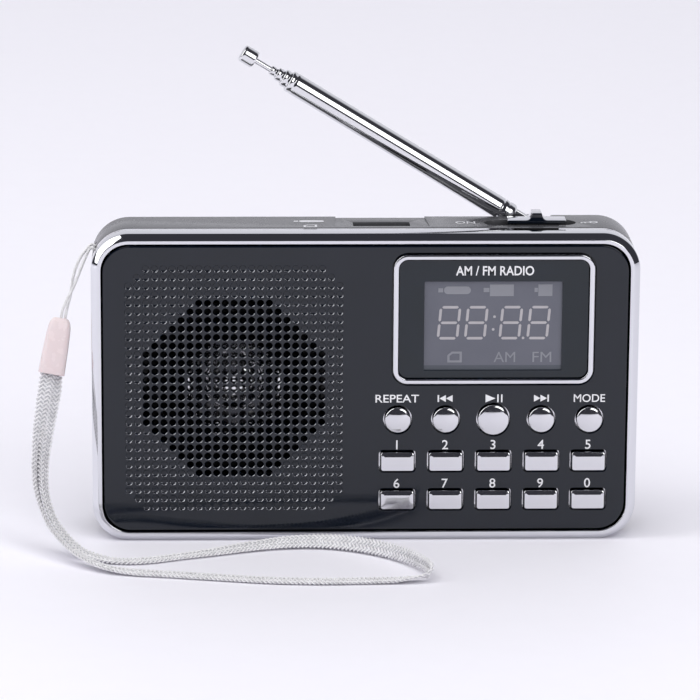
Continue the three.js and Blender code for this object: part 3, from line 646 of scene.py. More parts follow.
def rear_shell():
    """The hollow back case and its openings. Sides at 20, 80 and 90 are past its outside."""
    room_span = [(0, SEAM_Y - WALL), (0, 10.3)]
    room = object_from(shape(add_outline_loft, inset(CASE, WALL), room_span, steps=16), "room", [])
    half = COVER["w"] / 2
    cut(room, [
        box(-80, CHANNEL["x1"] + WALL, CHANNEL["y"] - 1.8, 20, CHANNEL["z"] - WALL, 90),
        box(BAY[0] - BAY_WALL, BAY[1] + BAY_WALL, 3.2, 20, 8.0, 46.0),
        box(-half - WALL, half + WALL, COVER["y"] - WALL, 20, -1, COVER["z1"] + WALL),
    ])
    room_bm = bmesh.new()
    room_bm.from_mesh(room.data)
    bmesh.ops.scale(room_bm, vec=(1 / MM, 1 / MM, 1 / MM), verts=room_bm.verts)
    bpy.data.objects.remove(room)

    r = SLOT["d"] / 2
    slot_outline = (arc(SLOT["x1"] - r, SLOT["y"], r, -90, 90, 16)
                    + arc(SLOT["x0"] + r, SLOT["y"], r, 90, 270, 16))
    shelf = [(-7.0, -3.2), (14.4, -3.2), (13.6, CHANNEL["y"] + 1), (-6.2, CHANNEL["y"] + 1)]
    port_mouth = rounded(PORT["x"], PORT["y"], PORT["w"], PORT["d"], 0.35, steps=4)
    swivel_bore = [(0, 55), (2.4, 55), (2.4, 57.8), (1.8, 57.8), (1.8, 66.5), (0, 66.5)]
    jack_bore = [(0, 55), (1.9, 55), (1.9, 66), (0, 66)]
    screw_bore = [(0, -6), (1.15, -6), (1.15, 9.5), (2.4, 11), (2.4, 20), (0, 20)]
    cord_bore = [(0, -4.5), (0.95, -4.5), (0.95, 4.5), (0, 4.5)]
    cutters = [
        room_bm,
        box(-80, CHANNEL["x1"], CHANNEL["y"], 20, CHANNEL["z"], 90),
        box(*BAY, 4.5, 20, 9.4, 44.6),
        box(-half, half, COVER["y"] - GAP, 20, -1, COVER["z1"]),
        box(-half - 1.3, half + 1.3, COVER["y"] - GAP, COVER["y"] + 0.9, -1, COVER["z1"] - 2),  # side grooves
        prism(port_mouth, on_top, 60, 80),
        prism(shelf, on_top, CASE_H - 0.3, 80),
        prism(slot_outline, on_top, 66, 80),
        turned(swivel_bore, (PIVOT.x, PIVOT.y, 0), segments=32),
        turned(jack_bore, (0, -0.3, 48.4), axis="X", segments=32),
        box(55, 66, -3.2, 2.6, 33.6, 37.0),  # charge socket
    ]
    for x, z in SCREWS:
        cutters.append(turned(screw_bore, (x, 0, z), axis="Y", segments=32))
    lean = radians(66)  # where on the corner's arc the cord goes in
    at_corner = (-CASE_W / 2 + CASE_R * (1 - sin(lean)), CASE_H - CASE_R * (1 - cos(lean)))
    for y in CORD_HOLES_Y:
        bm = turned(cord_bore, segments=24)
        place = Matrix.Translation((at_corner[0], y, at_corner[1])) @ Matrix.Rotation(-lean, 4, "Y")
        bmesh.ops.transform(bm, matrix=place, verts=bm.verts)
        cutters.append(bm)
    shell = object_from(shape(add_shell_outside), "rear_case", [SHELL_BLACK])
    cut(shell, cutters, bevel_mm=SHELL_EDGE)
    finish_piece(shell, "case", ["rear_shell"])


def grille_cells():
    """(column, row, is a through hole) for each cell of the perforated field."""
    for row in range(-14, 15):
        for column in range(-12, 13):
            reach = abs(column) + abs(row)
            if reach <= 24:
                yield column, row, abs(column) <= 10 and abs(row) <= 10 and reach <= 14


def add_cell(bm, corners, centre, through):
    """One square of the grille: its flat front, the rounded rim, and the hole or dimple."""
    rings = []
    for radius, depth in RIM + (HOLE_WALL if through else DIMPLE_WALL):
        turns = (radians(-135) + 2 * pi * k / HOLE_STEPS for k in range(HOLE_STEPS))
        rings.append([bm.verts.new((
            centre[0] + radius * cos(turn), PANEL_Y + depth, centre[1] + radius * sin(turn),
        )) for turn in turns])
    for ring, deeper in zip(rings, rings[1:]):
        bridge(bm, ring, deeper)

    def fill_round(ring, square):
        quarter = HOLE_STEPS // 4
        for side in range(4):
            span = [ring[(side * quarter + k) % HOLE_STEPS] for k in range(quarter + 1)]
            bm.faces.new([square[side], square[(side + 1) % 4], *reversed(span)])

    fill_round(rings[0], corners["front"])
    if through:
        fill_round(rings[-1], corners["back"])
    else:
        bm.faces.new(rings[-1])
        bm.faces.new(corners["back"])


def add_wall(bm, outline, profile, steps):
    """The side wall of a hole or of the panel's edge; gives its front and back loops."""
    rows = add_outline_loft(bm, outline, profile, steps, caps=False)
    return rows[0], rows[-1]


def fill(bm, edges):
    bmesh.ops.triangle_fill(bm, use_beauty=True, edges=edges)


def loop_edges(bm, loop):
    return [bm.edges.get((a, b)) or bm.edges.new((a, b)) for a, b in zip(loop, loop[1:] + loop[:1])]


def front_panel():
    bm = bmesh.new()
    back_y = PANEL_Y + PANEL_T
    pitch = GRILLE["pitch"]
    corner_verts = {}

    def corner(column, row, y):
        key = (column, row, y)
        if key not in corner_verts:
            corner_verts[key] = bm.verts.new((
                GRILLE["x"] + (column - 0.5) * pitch, y, GRILLE["z"] + (row - 0.5) * pitch))
        return corner_verts[key]

    for column, row, through in grille_cells():
        square = [(column, row), (column + 1, row), (column + 1, row + 1), (column, row + 1)]
        corners = {
            "front": [corner(c, r, PANEL_Y) for c, r in square],
            "back": [corner(c, r, back_y) for c, r in square],
        }
        centre = (GRILLE["x"] + column * pitch, GRILLE["z"] + row * pitch)
        add_cell(bm, corners, centre, through)
    bm.edges.ensure_lookup_table()
    rims = [e for e in bm.edges if len(e.link_faces) == 1]
    front_edges = [e for e in rims if abs(e.verts[0].co.y - PANEL_Y) < 1e-6]
    back_edges = [e for e in rims if abs(e.verts[0].co.y - back_y) < 1e-6]

    # a flat margin keeps the shading of the round edge off the face
    outer_edge = [(0.5, PANEL_Y), (0.18, PANEL_Y), (0.05, PANEL_Y + 0.05), (0, PANEL_Y + 0.2)]
    soft_edge = [(-0.3, PANEL_Y), (-0.12, PANEL_Y), (-0.03, PANEL_Y + 0.04), (0, PANEL_Y + 0.12)]
    back_rim, ledge_rim = (0, back_y), (0, PANEL_Y + 1.2)
    pocket = inset(TRIM, -GAP)
    pocket_front, ledge = add_wall(bm, pocket, [*soft_edge, ledge_rim], 10)
    lcd_front, lcd_back = add_wall(bm, plate(LCD_X, LCD_Z, 36, 24.6, 0.5), [ledge_rim, back_rim], 4)
    fill(bm, loop_edges(bm, ledge) + loop_edges(bm, lcd_front))
    walls = [(pocket_front, lcd_back), add_wall(bm, PANEL, [*outer_edge, back_rim], 20)]
    for x, r in zip(BUTTON_X, BUTTON_RADIUS):
        hole = plate(x, BUTTON_Z, 2 * (r + GAP), 2 * (r + GAP), r + GAP)
        walls.append(add_wall(bm, hole, [*soft_edge, back_rim], 8))
    for x, z in KEY_PLACES:
        hole = plate(x, z, KEY_W + 2 * GAP, KEY_H + 2 * GAP, KEY_R + 0.2)
        walls.append(add_wall(bm, hole, [*soft_edge, back_rim], 5))
    for front, back in walls:
        front_edges += loop_edges(bm, front)
        back_edges += loop_edges(bm, back)
    fill(bm, front_edges)
    fill(bm, back_edges)
    panel = piece(bm, "front_plate", [GLOSS_BLACK, RIM_PAINTED_HIGHLIGHT], replaces=["front_panel"],
                  sharp=28)
    # The metal on the lower rims of the grille's holes and dimples is a painted highlight: the lamps' bright
    # arcs, on what is one black moulding.
    for face in panel.data.polygons:
        on_grille = face.center.x < 0 and abs(face.center.x / MM - GRILLE["x"]) < 13 * pitch
        highlight_rim = -0.97 < face.normal.y < -0.3 and face.normal.z > 0.15
        face.material_index = int(on_grille and highlight_rim and face.area < 0.1 * MM ** 2)


# ---- display
# A layer of print is (where its plane lies, its depth there, its thickness).
PRINT_T = 0.03
LCD_LAYER = (on_front, LCD_FACE_Y - 0.03, 0.025)
FRONT_LAYER = (on_front, PANEL_Y - 0.025, PRINT_T)
WINDOW_LAYER = (on_front, PANEL_Y + 0.075, PRINT_T)
TOP_LAYER = (on_top, CASE_H - 0.005, PRINT_T)


def display_trim():
    """A chrome band with a flat crown and rounded shoulders."""
    width = TRIM_BAND
    profile = [
        (0.0, -11.85), (0.04, -11.98), (0.12, -12.06), (0.22, -12.1), (width - 0.22, -12.1),
        (width - 0.12, -12.06), (width - 0.04, -11.98), (width, -11.85), (width, -10.6), (0.0, -10.6),
    ]
    ring = shape(add_outline_loft, TRIM, profile, steps=14, closed=True)
    chromed(ring, "display_ring", "display_trim", sharp=60)


def display_window():
    """The black-printed window, with a clear opening over the liquid crystal panel."""
    outline = inset(TRIM, TRIM_BAND + 0.12)
    view = plate(LCD_X, LCD_Z, LCD_X1 - LCD_X0, LCD_Z1 - LCD_Z0, 0.15)
    front, back = PANEL_Y + 0.1, PANEL_Y + 0.85
    bm = bmesh.new()
    outer = add_wall(bm, outline, [(0.1, front), (0, front + 0.1), (0, back)], 10)
    inner = add_wall(bm, view, [(-0.02, front), (0, front + 0.03), (0, back)], 3)
    for a, b in zip(outer, inner):
        fill(bm, loop_edges(bm, a) + loop_edges(bm, b))
    piece(bm, "window_plate", PRINT_BLACK, replaces=["display_window"])


def lcd_panel():
    bm = bmesh.new()
    block, glass = plate(LCD_X, LCD_Z, 38, 26, 0.6), plate(LCD_X, LCD_Z, 33, 22.6, 0.3)
    add_outline_loft(bm, block, [(0.3, -9.4), (0, -9.2), (0, -6.2), (0.3, -6.0)], steps=3)
    add_outline_loft(bm, glass, [(0.1, LCD_FACE_Y), (0, LCD_FACE_Y + 0.1), (0, -9.3)], steps=2)
    piece(bm, "lcd_block", LCD_GREY, replaces=["lcd_module"])
    strip = plate(LCD_X, LCD_Z0 + 0.5, 33, 1.15, 0.1)
    levels = [(0, LCD_FACE_Y - 0.02), (0, LCD_FACE_Y + 0.01)]
    piece(shape(add_outline_loft, strip, levels, steps=1), "lcd_edge_strip", LCD_EDGE)


def slanted(x, z, base_z, lean=tan(radians(5))):
    return (x + (z - base_z) * lean, z)


def add_segment_digit(bm, x, z, w, h, t):
    """Seven bars with pointed ends, leaning to the right."""
    gap, half = 0.27, t / 2

    def bar(ax, az, bx, bz):
        along = Vector((bx - ax, bz - az)).normalized()
        side = Vector((-along.y, along.x)) * half
        a, b = Vector((ax, az)) + along * gap, Vector((bx, bz)) - along * gap
        inner_a, inner_b = a + along * half, b - along * half
        points = [a, inner_a + side, inner_b + side, b, inner_b - side, inner_a - side]
        add_mark(bm, [slanted(p.x, p.y, z) for p in points], LCD_LAYER)

    left, right = x + half, x + w - half
    low, mid, top = z + half, z + h / 2, z + h - half
    for height in (top, mid, low):
        bar(left, height, right, height)
    for side_x in (left, right):
        bar(side_x, low, side_x, mid)
        bar(side_x, mid, side_x, top)


def lcd_marks():
    """The clock's four figures, with a colon and a point, and the fainter pictograms round them."""
    bm = bmesh.new()
    for x in DIGIT_X:
        add_segment_digit(bm, x, DIGIT_Z, DIGIT_W, DIGIT_H, DIGIT_STROKE)
    for x, z in ((28.1, DIGIT_Z + 2.3), (28.1, DIGIT_Z + 5.2), (34.95, DIGIT_Z + 0.33)):
        add_mark(bm, arc(*slanted(x, z, DIGIT_Z), 0.3, 0, 330, 11), LCD_LAYER)
    piece(bm, "lcd_digits", SEGMENT)

    bm = bmesh.new()
    for words, x, width in (("AM", 30.9, 4.8), ("FM", 39.25, 4.2)):
        add_text(bm, words, x, 41.1, 2.5, LCD_LAYER, bold=0, width=width)
    for x0, x1, stem in ((27.45, 32.76, 1.4), (38.2, 41.33, 0.85)):
        add_mark(bm, [(x0, 56.2), (x1, 56.2), (x1, 58.85), (x0, 58.85)], LCD_LAYER)
        add_bar(bm, x0 - stem, 57.6, stem - 0.12, 0.95, LCD_LAYER)
    add_stick_icon(bm, 19.6, 57.55, 0.92, LCD_LAYER)
    add_card_icon(bm, 19.8, 42.3, 1.25, LCD_LAYER)
    piece(bm, "lcd_legends", FAINT_SEGMENT)


# ---- printed marks
def add_text(bm, words, x, z, size, layer, bold=0.02, width=None):
    """Letters as thin raised print, centred on x. size is the height of a capital."""
    curve = bpy.data.curves.new("letters", "FONT")
    curve.body = words
    curve.size = size / 0.729
    curve.align_x = "CENTER"
    curve.offset = bold
    curve.resolution_u = 4
    holder = add_object("letters", curve)
    mesh = evaluated_mesh(holder)
    flat = bmesh.new()
    flat.from_mesh(mesh)
    bmesh.ops.remove_doubles(flat, verts=flat.verts, dist=WELD)
    left, right = (pick(v.co.x for v in flat.verts) for pick in (min, max))
    stretch = width / (right - left) if width else 1.0
    for v in flat.verts:
        v.co.x = (v.co.x - (left + right) / 2) * stretch
    add_flat(bm, flat, x, z, layer)
    flat.free()
    bpy.data.meshes.remove(mesh)
    bpy.data.objects.remove(holder)
    bpy.data.curves.remove(curve)


def add_flat(bm, flat, x, z, layer):
    """Thickens a flat bmesh into print on a layer."""
    place, depth, thickness = layer
    front = {v: bm.verts.new(place(x + v.co.x, z + v.co.y, depth)) for v in flat.verts}
    back = {v: bm.verts.new(place(x + v.co.x, z + v.co.y, depth + thickness)) for v in flat.verts}
    for face in flat.faces:
        bm.faces.new([front[v] for v in face.verts])
        bm.faces.new([back[v] for v in reversed(face.verts)])
    for e in flat.edges:
        if len(e.link_faces) == 1:
            a, b = e.verts
            bm.faces.new([front[a], front[b], back[b], back[a]])


def add_mark(bm, points, layer):
    place, depth, thickness = layer
    add_prism(bm, points, place, depth, depth + thickness)


def add_stick_icon(bm, x, z, scale, layer):
    """A plug-in memory stick: a round-ended body, a gap, and the plug."""
    body = arc(3.0, 0, 0.95, -90, 90, 8) + arc(-1.6, 0, 0.95, 90, 270, 8)
    plug = [(-3.9, -0.5), (-2.75, -0.5), (-2.75, 0.5), (-3.9, 0.5)]
    for points in (body, plug):
        add_mark(bm, [(x + a * scale, z + b * scale) for a, b in points], layer)


def add_card_icon(bm, x, z, scale, layer):
    """A memory card outline with one cut corner."""
    outer = [(-1.3, -1.0), (1.3, -1.0), (1.3, 1.0), (-0.5, 1.0), (-1.3, 0.3)]
    inner = [(a * 0.68, b * 0.62) for a, b in outer]
    for i in range(5):
        j = (i + 1) % 5
        quad = [outer[i], outer[j], inner[j], inner[i]]
        add_mark(bm, [(x + a * scale, z + b * scale) for a, b in quad], layer)


def add_triangle(bm, x, z, w, h, layer):
    add_mark(bm, [(x, z - h / 2), (x + w, z), (x, z + h / 2)], layer)


def add_bar(bm, x, z, w, h, layer):
    add_mark(bm, [(x, z - h / 2), (x + w, z - h / 2), (x + w, z + h / 2), (x, z + h / 2)], layer)


def front_legends():
    label_z, tall, wide, bar = 32.05, 1.6, 1.45, 0.34
    middle = label_z + 0.87
    bm = bmesh.new()
    add_text(bm, "REPEAT", 7.1, label_z, 1.85, FRONT_LAYER, width=9.7)
    add_text(bm, "MODE", 50.0, label_z, 1.85, FRONT_LAYER, width=7.0)
    for x in (16.5, 18.0):
        add_triangle(bm, x + wide, middle, -wide, tall, FRONT_LAYER)
    add_bar(bm, 16.1, middle, bar, tall, FRONT_LAYER)
    add_triangle(bm, 26.8, middle, 2.2, 1.85, FRONT_LAYER)
    for x in (29.4, 30.25):
        add_bar(bm, x, middle, 0.32, 1.8, FRONT_LAYER)
    for x in (37.6, 39.05):
        add_triangle(bm, x, middle, wide, tall, FRONT_LAYER)
    add_bar(bm, 40.6, middle, bar, tall, FRONT_LAYER)
    for z, row in ((21.2, "12345"), (12.25, "67890")):
        for x, figure in zip(KEY_X, row):
            add_text(bm, figure, x - 0.15, z, 2.2, FRONT_LAYER)
    piece(bm, "front_legends", INK)
    title = shape(add_text, "AM / FM RADIO", 28.5, 61.1, 2.15, WINDOW_LAYER, bold=0.045, width=17.3)
    piece(title, "window_title", INK)


def top_legends():
    bm = bmesh.new()
    add_text(bm, "ON", 22.5, -0.8, 2.3, TOP_LAYER, width=4.4)
    add_stick_icon(bm, -12.4, 1.8, 0.86, TOP_LAYER)
    add_card_icon(bm, -12.2, -2.9, 1.15, TOP_LAYER)
    add_key_icon(bm, 50.2, 0.4, TOP_LAYER)
    piece(bm, "top_legends", TOP_INK)


def add_key_icon(bm, x, y, layer):
    """A key: a ring for the bow, a shaft and two teeth."""
    for i in range(16):
        a, b = 22.5 * i, 22.5 * (i + 1)
        quad = [*arc(x + 1.0, y, 0.95, a, b, 1), *reversed(arc(x + 1.0, y, 0.6, a, b, 1))]
        add_mark(bm, quad, layer)
    add_bar(bm, x - 1.9, y, 1.98, 0.36, layer)
    for dx in (-1.9, -1.1):
        add_bar(bm, x + dx, y - 0.5, 0.34, 0.75, layer)


# ---- buttons and keys
def round_buttons():
    """Shallow domes with a flange and a stem behind the panel."""
    for name, x, r in zip(BUTTON_NAMES, BUTTON_X, BUTTON_RADIUS):
        dome = [(r * 0.92 * k / 8, KEY_Y + DOME_DROP * (k / 8) ** 2) for k in range(9)]
        profile = dome + [
            (r - 0.12, KEY_Y + 0.46), (r - 0.03, KEY_Y + 0.6), (r, KEY_Y + 0.8), (r, FLANGE_Y0),
            (r + 0.9, FLANGE_Y0), (r + 0.9, FLANGE_Y1), (1.2, FLANGE_Y1), (1.2, STEM_Y), (0, STEM_Y),
        ]
        cap, node = turned(profile, (x, 0, BUTTON_Z), axis="Y", segments=48), f"button_{name}"
        chromed(cap, f"cap_{name}", node, BUTTON_CHROME, body=node, sharp=40)


def key_face(outline):
    """Rings of a key's face: flat below, and curling back towards the top edge."""
    rings = []
    for amount in (2.05, 1.7, 1.35, 1.0, 0.7, 0.45, 0.25):
        ring = []
        for x, y, z in outline_ring(outline, amount, KEY_Y + 0.02, 6):
            curl = max(0, z - outline["z"] - 0.85) / 1.1
            ring.append((x, y + 0.22 * curl ** 1.6, z))
        rings.append(ring)
    return rings


def keys():
    sides = [(0.12, KEY_Y + 0.28), (0.03, KEY_Y + 0.42), (0, KEY_Y + 0.6), (0, FLANGE_Y0 + 0.1)]
    for number, (x, z) in enumerate(KEY_PLACES, 1):
        node = f"key_{number % 10}"
        outline = plate(x, z, KEY_W, KEY_H, KEY_R)
        bm = bmesh.new()
        add_loft(bm, key_face(outline) + [outline_ring(outline, amount, y, 6) for amount, y in sides])
        add_outline_loft(bm, plate(x, z, 9.4, 6.0, 0.4), [(0, FLANGE_Y0), (0, FLANGE_Y1)], steps=2)
        add_outline_loft(bm, plate(x, z, 2.0, 2.0, 0.2), [(0, FLANGE_Y1 - 0.1), (0, STEM_Y)], steps=2)
        chromed(bm, f"cap_{node}", node, BUTTON_CHROME, body=node, sharp=40)


def power_slider():
    """A low bar with a hump in its middle, polished above and black in front, and its carrier below."""
    half, low, top = SLIDER["w"] / 2, CASE_H + 0.2, CASE_H + SLIDER["rise"]
    nub_top = CASE_H + SLIDER["nub"]
    foot, head, soft = 2.4, 1.15, 0.1

    def hump(sign):
        curve = [(foot + (head - foot) * b, top + (nub_top - top) * 0.86 * (1 - a))
                 for a, b in arc(0, 0, 1, 0, 90, 10)]
        curve += [(head - 0.05, nub_top - 0.12), (head - 0.22, nub_top)]
        return [(sign * a, b) for a, b in curve]

    right = [(half - soft, low), (half, low + soft), (half, top - soft), (half - soft, top), *hump(1)]
    left = [(-half + soft, low), (-half, low + soft), (-half, top - soft), (-half + soft, top), *hump(-1)]
    outline = right + left[::-1]
    x, y, deep = SLIDER["x"], SLOT["y"], SLIDER["d"]
    bar = prism([(x + a, b) for a, b in outline], on_front, y - deep / 2, y + deep / 2)
    slider = object_from(bar, "slider_cap", [CHROME, GLOSS_BLACK])
    cut(slider, [], bevel_mm=soft)
    for face in slider.data.polygons:
        face.material_index = int(face.normal.y < -0.9)
    finish_piece(slider, "power_slider", ["power_slider"])
    neck, flange = plate(x, y, 10, deep - 0.4, 0.6), plate(x, y, 23, 6.8, 0.8)
    bm = bmesh.new()
    for outline, span in ((neck, (67.5, low + 0.02)), (flange, (67.1, 68.1))):
        add_prism(bm, rounded(steps=4, **outline), on_top, *span)
    add_box(bm, x - 1, x + 1, y - 0.8, y + 0.8, 65, 67.2)
    piece(bm, "slider_carrier", SEAM_DARK, body="power_slider")


# ---- inside and openings
def speaker():
    """A steel basket, near black as painted shade behind the grille, a metal-film cone with a felt-dark edge,
    and the gasket in front.
    """
    centre = (GRILLE["x"], 0, GRILLE["z"])
    basket = [
        (19.5, -9.2), (19.5, -7.9), (18.3, -7.9), (11, -3.4), (7.8, -3.4), (7.8, -4.4), (10.4, -4.4),
        (17.1, -8.4), (17.1, -9.2), (19.5, -9.2),
    ]
    ring = turned(basket, centre, axis="Y", segments=64)
    # the basket's near black is painted shade for the cavity behind the grille
    piece(ring, "speaker_basket", BASKET_SHADE_BLACK, replaces=["speaker_frame"])

    dome = [(6.3 * a, -5.6 - 2.3 * b) for a, b in arc(0, 0, 1, 90, 0, 10)]
    surround = [(12.3 + 1.3 * a, -7.7 - 1.1 * b) for a, b in arc(0, 0, 1, 180, 0, 12)]
    front = dome + [(6.6, -5.4), (9.2, -6.5), (9.75, -6.9), (10.3, -6.8), (11.0, -7.2)] + surround
    front += [(14.4, -8.1), (16.7, -8.9)]
    back = [(radius, height + 0.3) for radius, height in reversed(front)]
    skin = turned(front + back, centre, axis="Y", segments=72)
    cone = piece(skin, "speaker_diaphragm", [CONE_FILM, FELT], replaces=["speaker_cone"])
    for face in cone.data.polygons:
        x, _, z = face.center / MM
        face.material_index = int(hypot(x - GRILLE["x"], z - GRILLE["z"]) > 10.1)
    gasket = [(17.4, -9.6), (19.4, -9.6), (19.4, -9.25), (17.4, -9.25), (17.4, -9.6)]
    piece(turned(gasket, centre, axis="Y", segments=64), "speaker_gasket", FELT)


def case_screws():
    """Countersunk cross-head screws, with a thread as rings down the shank."""
    profile = [(0, 11.3), (1.5, 11.3), (1.85, 11.2), (2.0, 11.0), (2.0, 10.9), (0.85, 9.4)]
    for k in range(14):
        y = 9.0 - 0.55 * k
        profile += [(0.85, y + 0.2), (0.62, y)]
    profile += [(0.5, 1.0), (0, 0.5)]
    arm, blade = 1.15, 0.24
    for i, (x, z) in enumerate(SCREWS, 1):
        screw = object_from(turned(profile, (x, 0, z), axis="Y", segments=24), f"screw_{i}", [STEEL])
        recess = [box(x - a, x + a, 10.6, 12, z - b, z + b) for a, b in ((arm, blade), (blade, arm))]
        cut(screw, recess, bevel_mm=0.04)
        finish_piece(screw, "case", [f"case_screw_{i}"])


def battery_cover():
    """The lower back panel: the shell's own surface, with finger ridges, an arrow and two side tongues."""
    reach, low_y, top = COVER["w"] / 2 - GAP, COVER["y"], COVER["z1"] - GAP
    cutters = [
        box(-90, -reach, -20, 30, -10, 90), box(reach, 90, -20, 30, -10, 90),
        box(-40, 40, -20, low_y, -10, 90), box(-40, 40, -20, 30, top, 90),
    ]
    for k in range(6):
        half, z = 9 - 0.25 * k, 40.6 - 1.5 * k
        ridge = [(-half, z - 0.35), (half, z - 0.35), (half, z + 0.35), (-half, z + 0.35)]
        cutters.append(prism(ridge, on_front, BACK_Y - 0.4, BACK_Y + 1))
    arrow = [(-2.2, 30.2), (0, 27.6), (2.2, 30.2), (0.7, 30.2), (0.7, 31.0), (-0.7, 31.0), (-0.7, 30.2)]
    cutters.append(prism(arrow, on_front, BACK_Y - 0.3, BACK_Y + 1))
    cover = object_from(shape(add_shell_outside), "back_cover", [SHELL_BLACK])
    cut(cover, cutters, bevel_mm=SHELL_EDGE)
    finish_piece(cover, "battery_cover", ["battery_cover"])
    bm = bmesh.new()
    for side in (-1, 1):
        x0, x1 = sorted((side * (reach - 1), side * (reach + 1.1)))
        add_box(bm, x0, x1, low_y + 0.02, low_y + 0.6, 6, 44)
    piece(bm, "cover_tongues", SHELL_BLACK, body="battery_cover")


# ---- antenna
def mast_piece(bm, name, node, body, sharp=SHARP):
    """A piece built along +Z from the pivot, leaned over with the mast."""
    bmesh.ops.transform(bm, matrix=MAST, verts=bm.verts)
    chromed(bm, name, node, ANTENNA_CHROME, body=body, sharp=sharp)


def antenna_base():
    """A forked post that turns in the shell; the knuckle tilts on a pin between its sides."""
    profile = [(0, 58.2), (1.5, 58.2), (1.5, 64.85), (2.35, 64.85), (2.5, 65.0), (2.5, 69.35), (2.35, 69.7),
               (2.1, 69.85), (0, 69.85)]
    fork = object_from(turned(profile, (PIVOT.x, PIVOT.y, 0), segments=48), "swivel_fork", [ANTENNA_CHROME])
    pin_hole = turned([(0, -5), (0.95, -5), (0.95, 5), (0, 5)], PIVOT, axis="Y", segments=24)
    slot = box(PIVOT.x - 4, PIVOT.x + 4, PIVOT.y - 1.3, PIVOT.y + 1.3, 65.35, 72)
    cut(fork, [slot, pin_hole], bevel_mm=0.1)
    finish_piece(fork, "antenna_swivel", ["antenna_base"])


def antenna_knuckle():
    """The eye on the pin, a flat neck and the collar that holds the first tube."""
    tang = [(0.95, -1.0), (1.75, -1.0), (1.9, -0.85), (1.9, 0.85), (1.75, 1.0), (0.95, 1.0), (0.95, -1.0)]
    collar = [(0, 4.4), (1.9, 4.4), (2.1, 4.5), (2.45, 4.95), (2.5, 5.15), (2.5, 6.2), (2.36, 6.3),
              (2.36, 6.5), (2.5, 6.6), (2.5, 7.3), (2.38, 7.5), (1.9, 7.5), (1.9, 11), (0, 11)]
    bm = turned(tang, axis="Y", segments=36)
    add_prism(bm, rounded(0, 0, 3.7, 1.96, 0.35, steps=5), on_top, 1.3, 4.9)
    add_turned(bm, collar, segments=48)
    mast_piece(bm, "tilt_knuckle", "antenna_knuckle", "antenna_mast")


def antenna_tubes():
    """Each tube is rolled in at its end, with a pressed ring behind the roll."""
    for node, body, outer, inner, start, end, inside in TUBES:
        mouth = inside + 0.05
        turn = outer - mouth
        roll = [(mouth + a, end - turn + b) for a, b in arc(0, 0, turn, 0, 90, 6)]
        ring, groove = end - 1.25, outer - 0.07
        profile = [
            (inner, start), (outer - 0.08, start), (outer, start + 0.1), (outer, start + 0.5),
            (outer, ring - 0.6), (outer, ring - 0.22), (groove, ring - 0.12), (groove, ring + 0.12),
            (outer, ring + 0.22), *roll, (mouth, end - 0.3), (inner, end - 0.7), (inner, start),
        ]
        mast_piece(turned(profile, segments=56), node.replace("antenna", "mast"), node, body, sharp=50)


def antenna_end():
    rod = [(0, 15), (0.6, 15), (0.65, 15.1), (0.65, 15.5), (0.65, 74.3), (0, 74.3)]
    mast_piece(turned(rod, segments=28), "mast_rod", "antenna_rod", "antenna_rod")
    crown = [(1.45 + 0.55 * a, 75.3 + 0.62 * b) for a, b in arc(0, 0, 1, 15, 90, 5)]
    knob = [(0, 74.6), (0.95, 74.6), (0.95, 72.4), (1.55, 72.4), (1.85, 72.5), (2.0, 72.75), (2.0, 72.95),
            (2.0, 75.1), (2.0, 75.3), *crown, (0.8, 75.98), (0, 76.0)]
    mast_piece(turned(knob, segments=48), "mast_knob", "antenna_tip", "antenna_rod", sharp=40)


# ---- materials of the CAD nodes that stay
def dress_cad():
    looks = {
        "main_board": BOARD, "speaker_magnet": STEEL, "usb_shell": STEEL, "usb_tongue": HOLE_BLACK,
        "headphone_jack": HOLE_BLACK, "charge_socket": STEEL, "slide_switch": STEEL, "battery": BATTERY,
        "battery_contacts": BRASS, "antenna_screw": STEEL, "antenna_pivot_pin": STEEL,
    }
    for node, material in looks.items():
        for holder in frame["nodes"][node].material_slots:
            holder.material = material


# ---- floor and light
def floor():
    side, back = 3000, 9000
    corners = [(-side, -side), (side, -side), (side, back), (-side, back)]
    object_from(prism(corners, on_top, -5, 0), "floor", [FLOOR])


ROOM, BACKDROP = (0.045, 0.045, 0.055), (0.78, 0.78, 0.84)
BACKDROP_SIDE = (0.1, 0.4)  # depth of a direction where the room gives way to the backdrop
BACKDROP_TOP = (0.85, 0.6)  # height of a direction where the backdrop ends


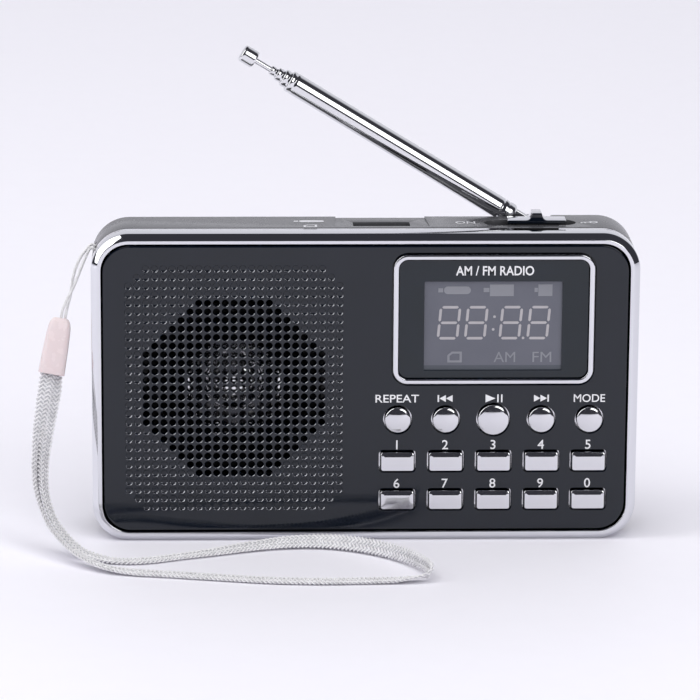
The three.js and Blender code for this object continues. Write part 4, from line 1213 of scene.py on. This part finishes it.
def sky():
    """A pale backdrop behind the radio, and a dark room in front of it and overhead."""
    world = bpy.data.worlds.new("sky")
    bpy.context.scene.world = world
    world.use_nodes = True
    tree = world.node_tree
    tree.nodes.clear()
    place = add_node(tree, "TexCoord")
    split = add_node(tree, "SeparateXYZ", Vector=place.outputs["Generated"])
    both = add_node(tree, "Math")
    both.operation = "MULTIPLY"
    for i, (axis, (start, end)) in enumerate((("Y", BACKDROP_SIDE), ("Z", BACKDROP_TOP))):
        ramp = add_node(tree, "MapRange", {"From Min": start, "From Max": end}, Value=split.outputs[axis])
        ramp.interpolation_type = "SMOOTHSTEP"
        tree.links.new(ramp.outputs["Result"], both.inputs[i])
    mix = tree.nodes.new("ShaderNodeMix")
    mix.data_type = "RGBA"
    mix.inputs["A"].default_value = (*ROOM, 1)
    mix.inputs["B"].default_value = (*BACKDROP, 1)
    tree.links.new(both.outputs["Value"], mix.inputs["Factor"])
    shade = add_node(tree, "Background", Color=mix.outputs["Result"])
    add_node(tree, "OutputWorld", Surface=shade.outputs["Background"])


def softbox(name, direction, distance, size, brightness, roll=0.0, reflected=True):
    """An even square light that faces the radio; brightness is what a mirror shows of it."""
    data = bpy.data.lights.new(name, "AREA")
    data.shape = "RECTANGLE"
    data.size, data.size_y = size
    data.energy = brightness * pi * size[0] * size[1]
    light = add_object(name, data)
    light.location = Vector(direction).normalized() * distance + Vector((0, 0, MID_Z * MM))
    facing = Vector(direction).to_track_quat("Z", "Y").to_matrix().to_4x4()
    light.rotation_euler = (facing @ Matrix.Rotation(radians(roll), 4, "Z")).to_euler()
    light.visible_glossy = reflected


def fill_light(direction, strength, spread):
    """Wide even light that lifts the whole floor and the front, with no reflection of its own."""
    data = bpy.data.lights.new("fill", "SUN")
    data.energy = strength
    data.angle = radians(spread)
    light = add_object("fill", data)
    light.rotation_euler = Vector(direction).to_track_quat("Z", "Y").to_euler()
    light.visible_glossy = False


def lights():
    bpy.context.scene.view_settings.view_transform = "Standard"
    softbox("left_box", (-0.78, -0.18, 0.60), 1.1, (0.42, 1.45), 2.5)
    softbox("right_box", (0.46, -0.745, 0.485), 1.1, (0.5, 0.8), 2.5, roll=-39)
    softbox("ceiling", (0, 0.3, 1), 2.2, (3.0, 3.0), 0.55, reflected=False)
    fill_light((0, -0.5, 0.85), 1.5, 70)


# ---- assembly
add_camera()
clamp = strap_clamp()
strap_band()
strap_cord()
chrome_frame()
rear_shell()
front_panel()
display_trim()
display_window()
lcd_panel()
lcd_marks()
front_legends()
top_legends()
round_buttons()
keys()
power_slider()
speaker()
case_screws()
battery_cover()
antenna_base()
antenna_knuckle()
antenna_tubes()
antenna_end()
dress_cad()
floor()
sky()
lights()
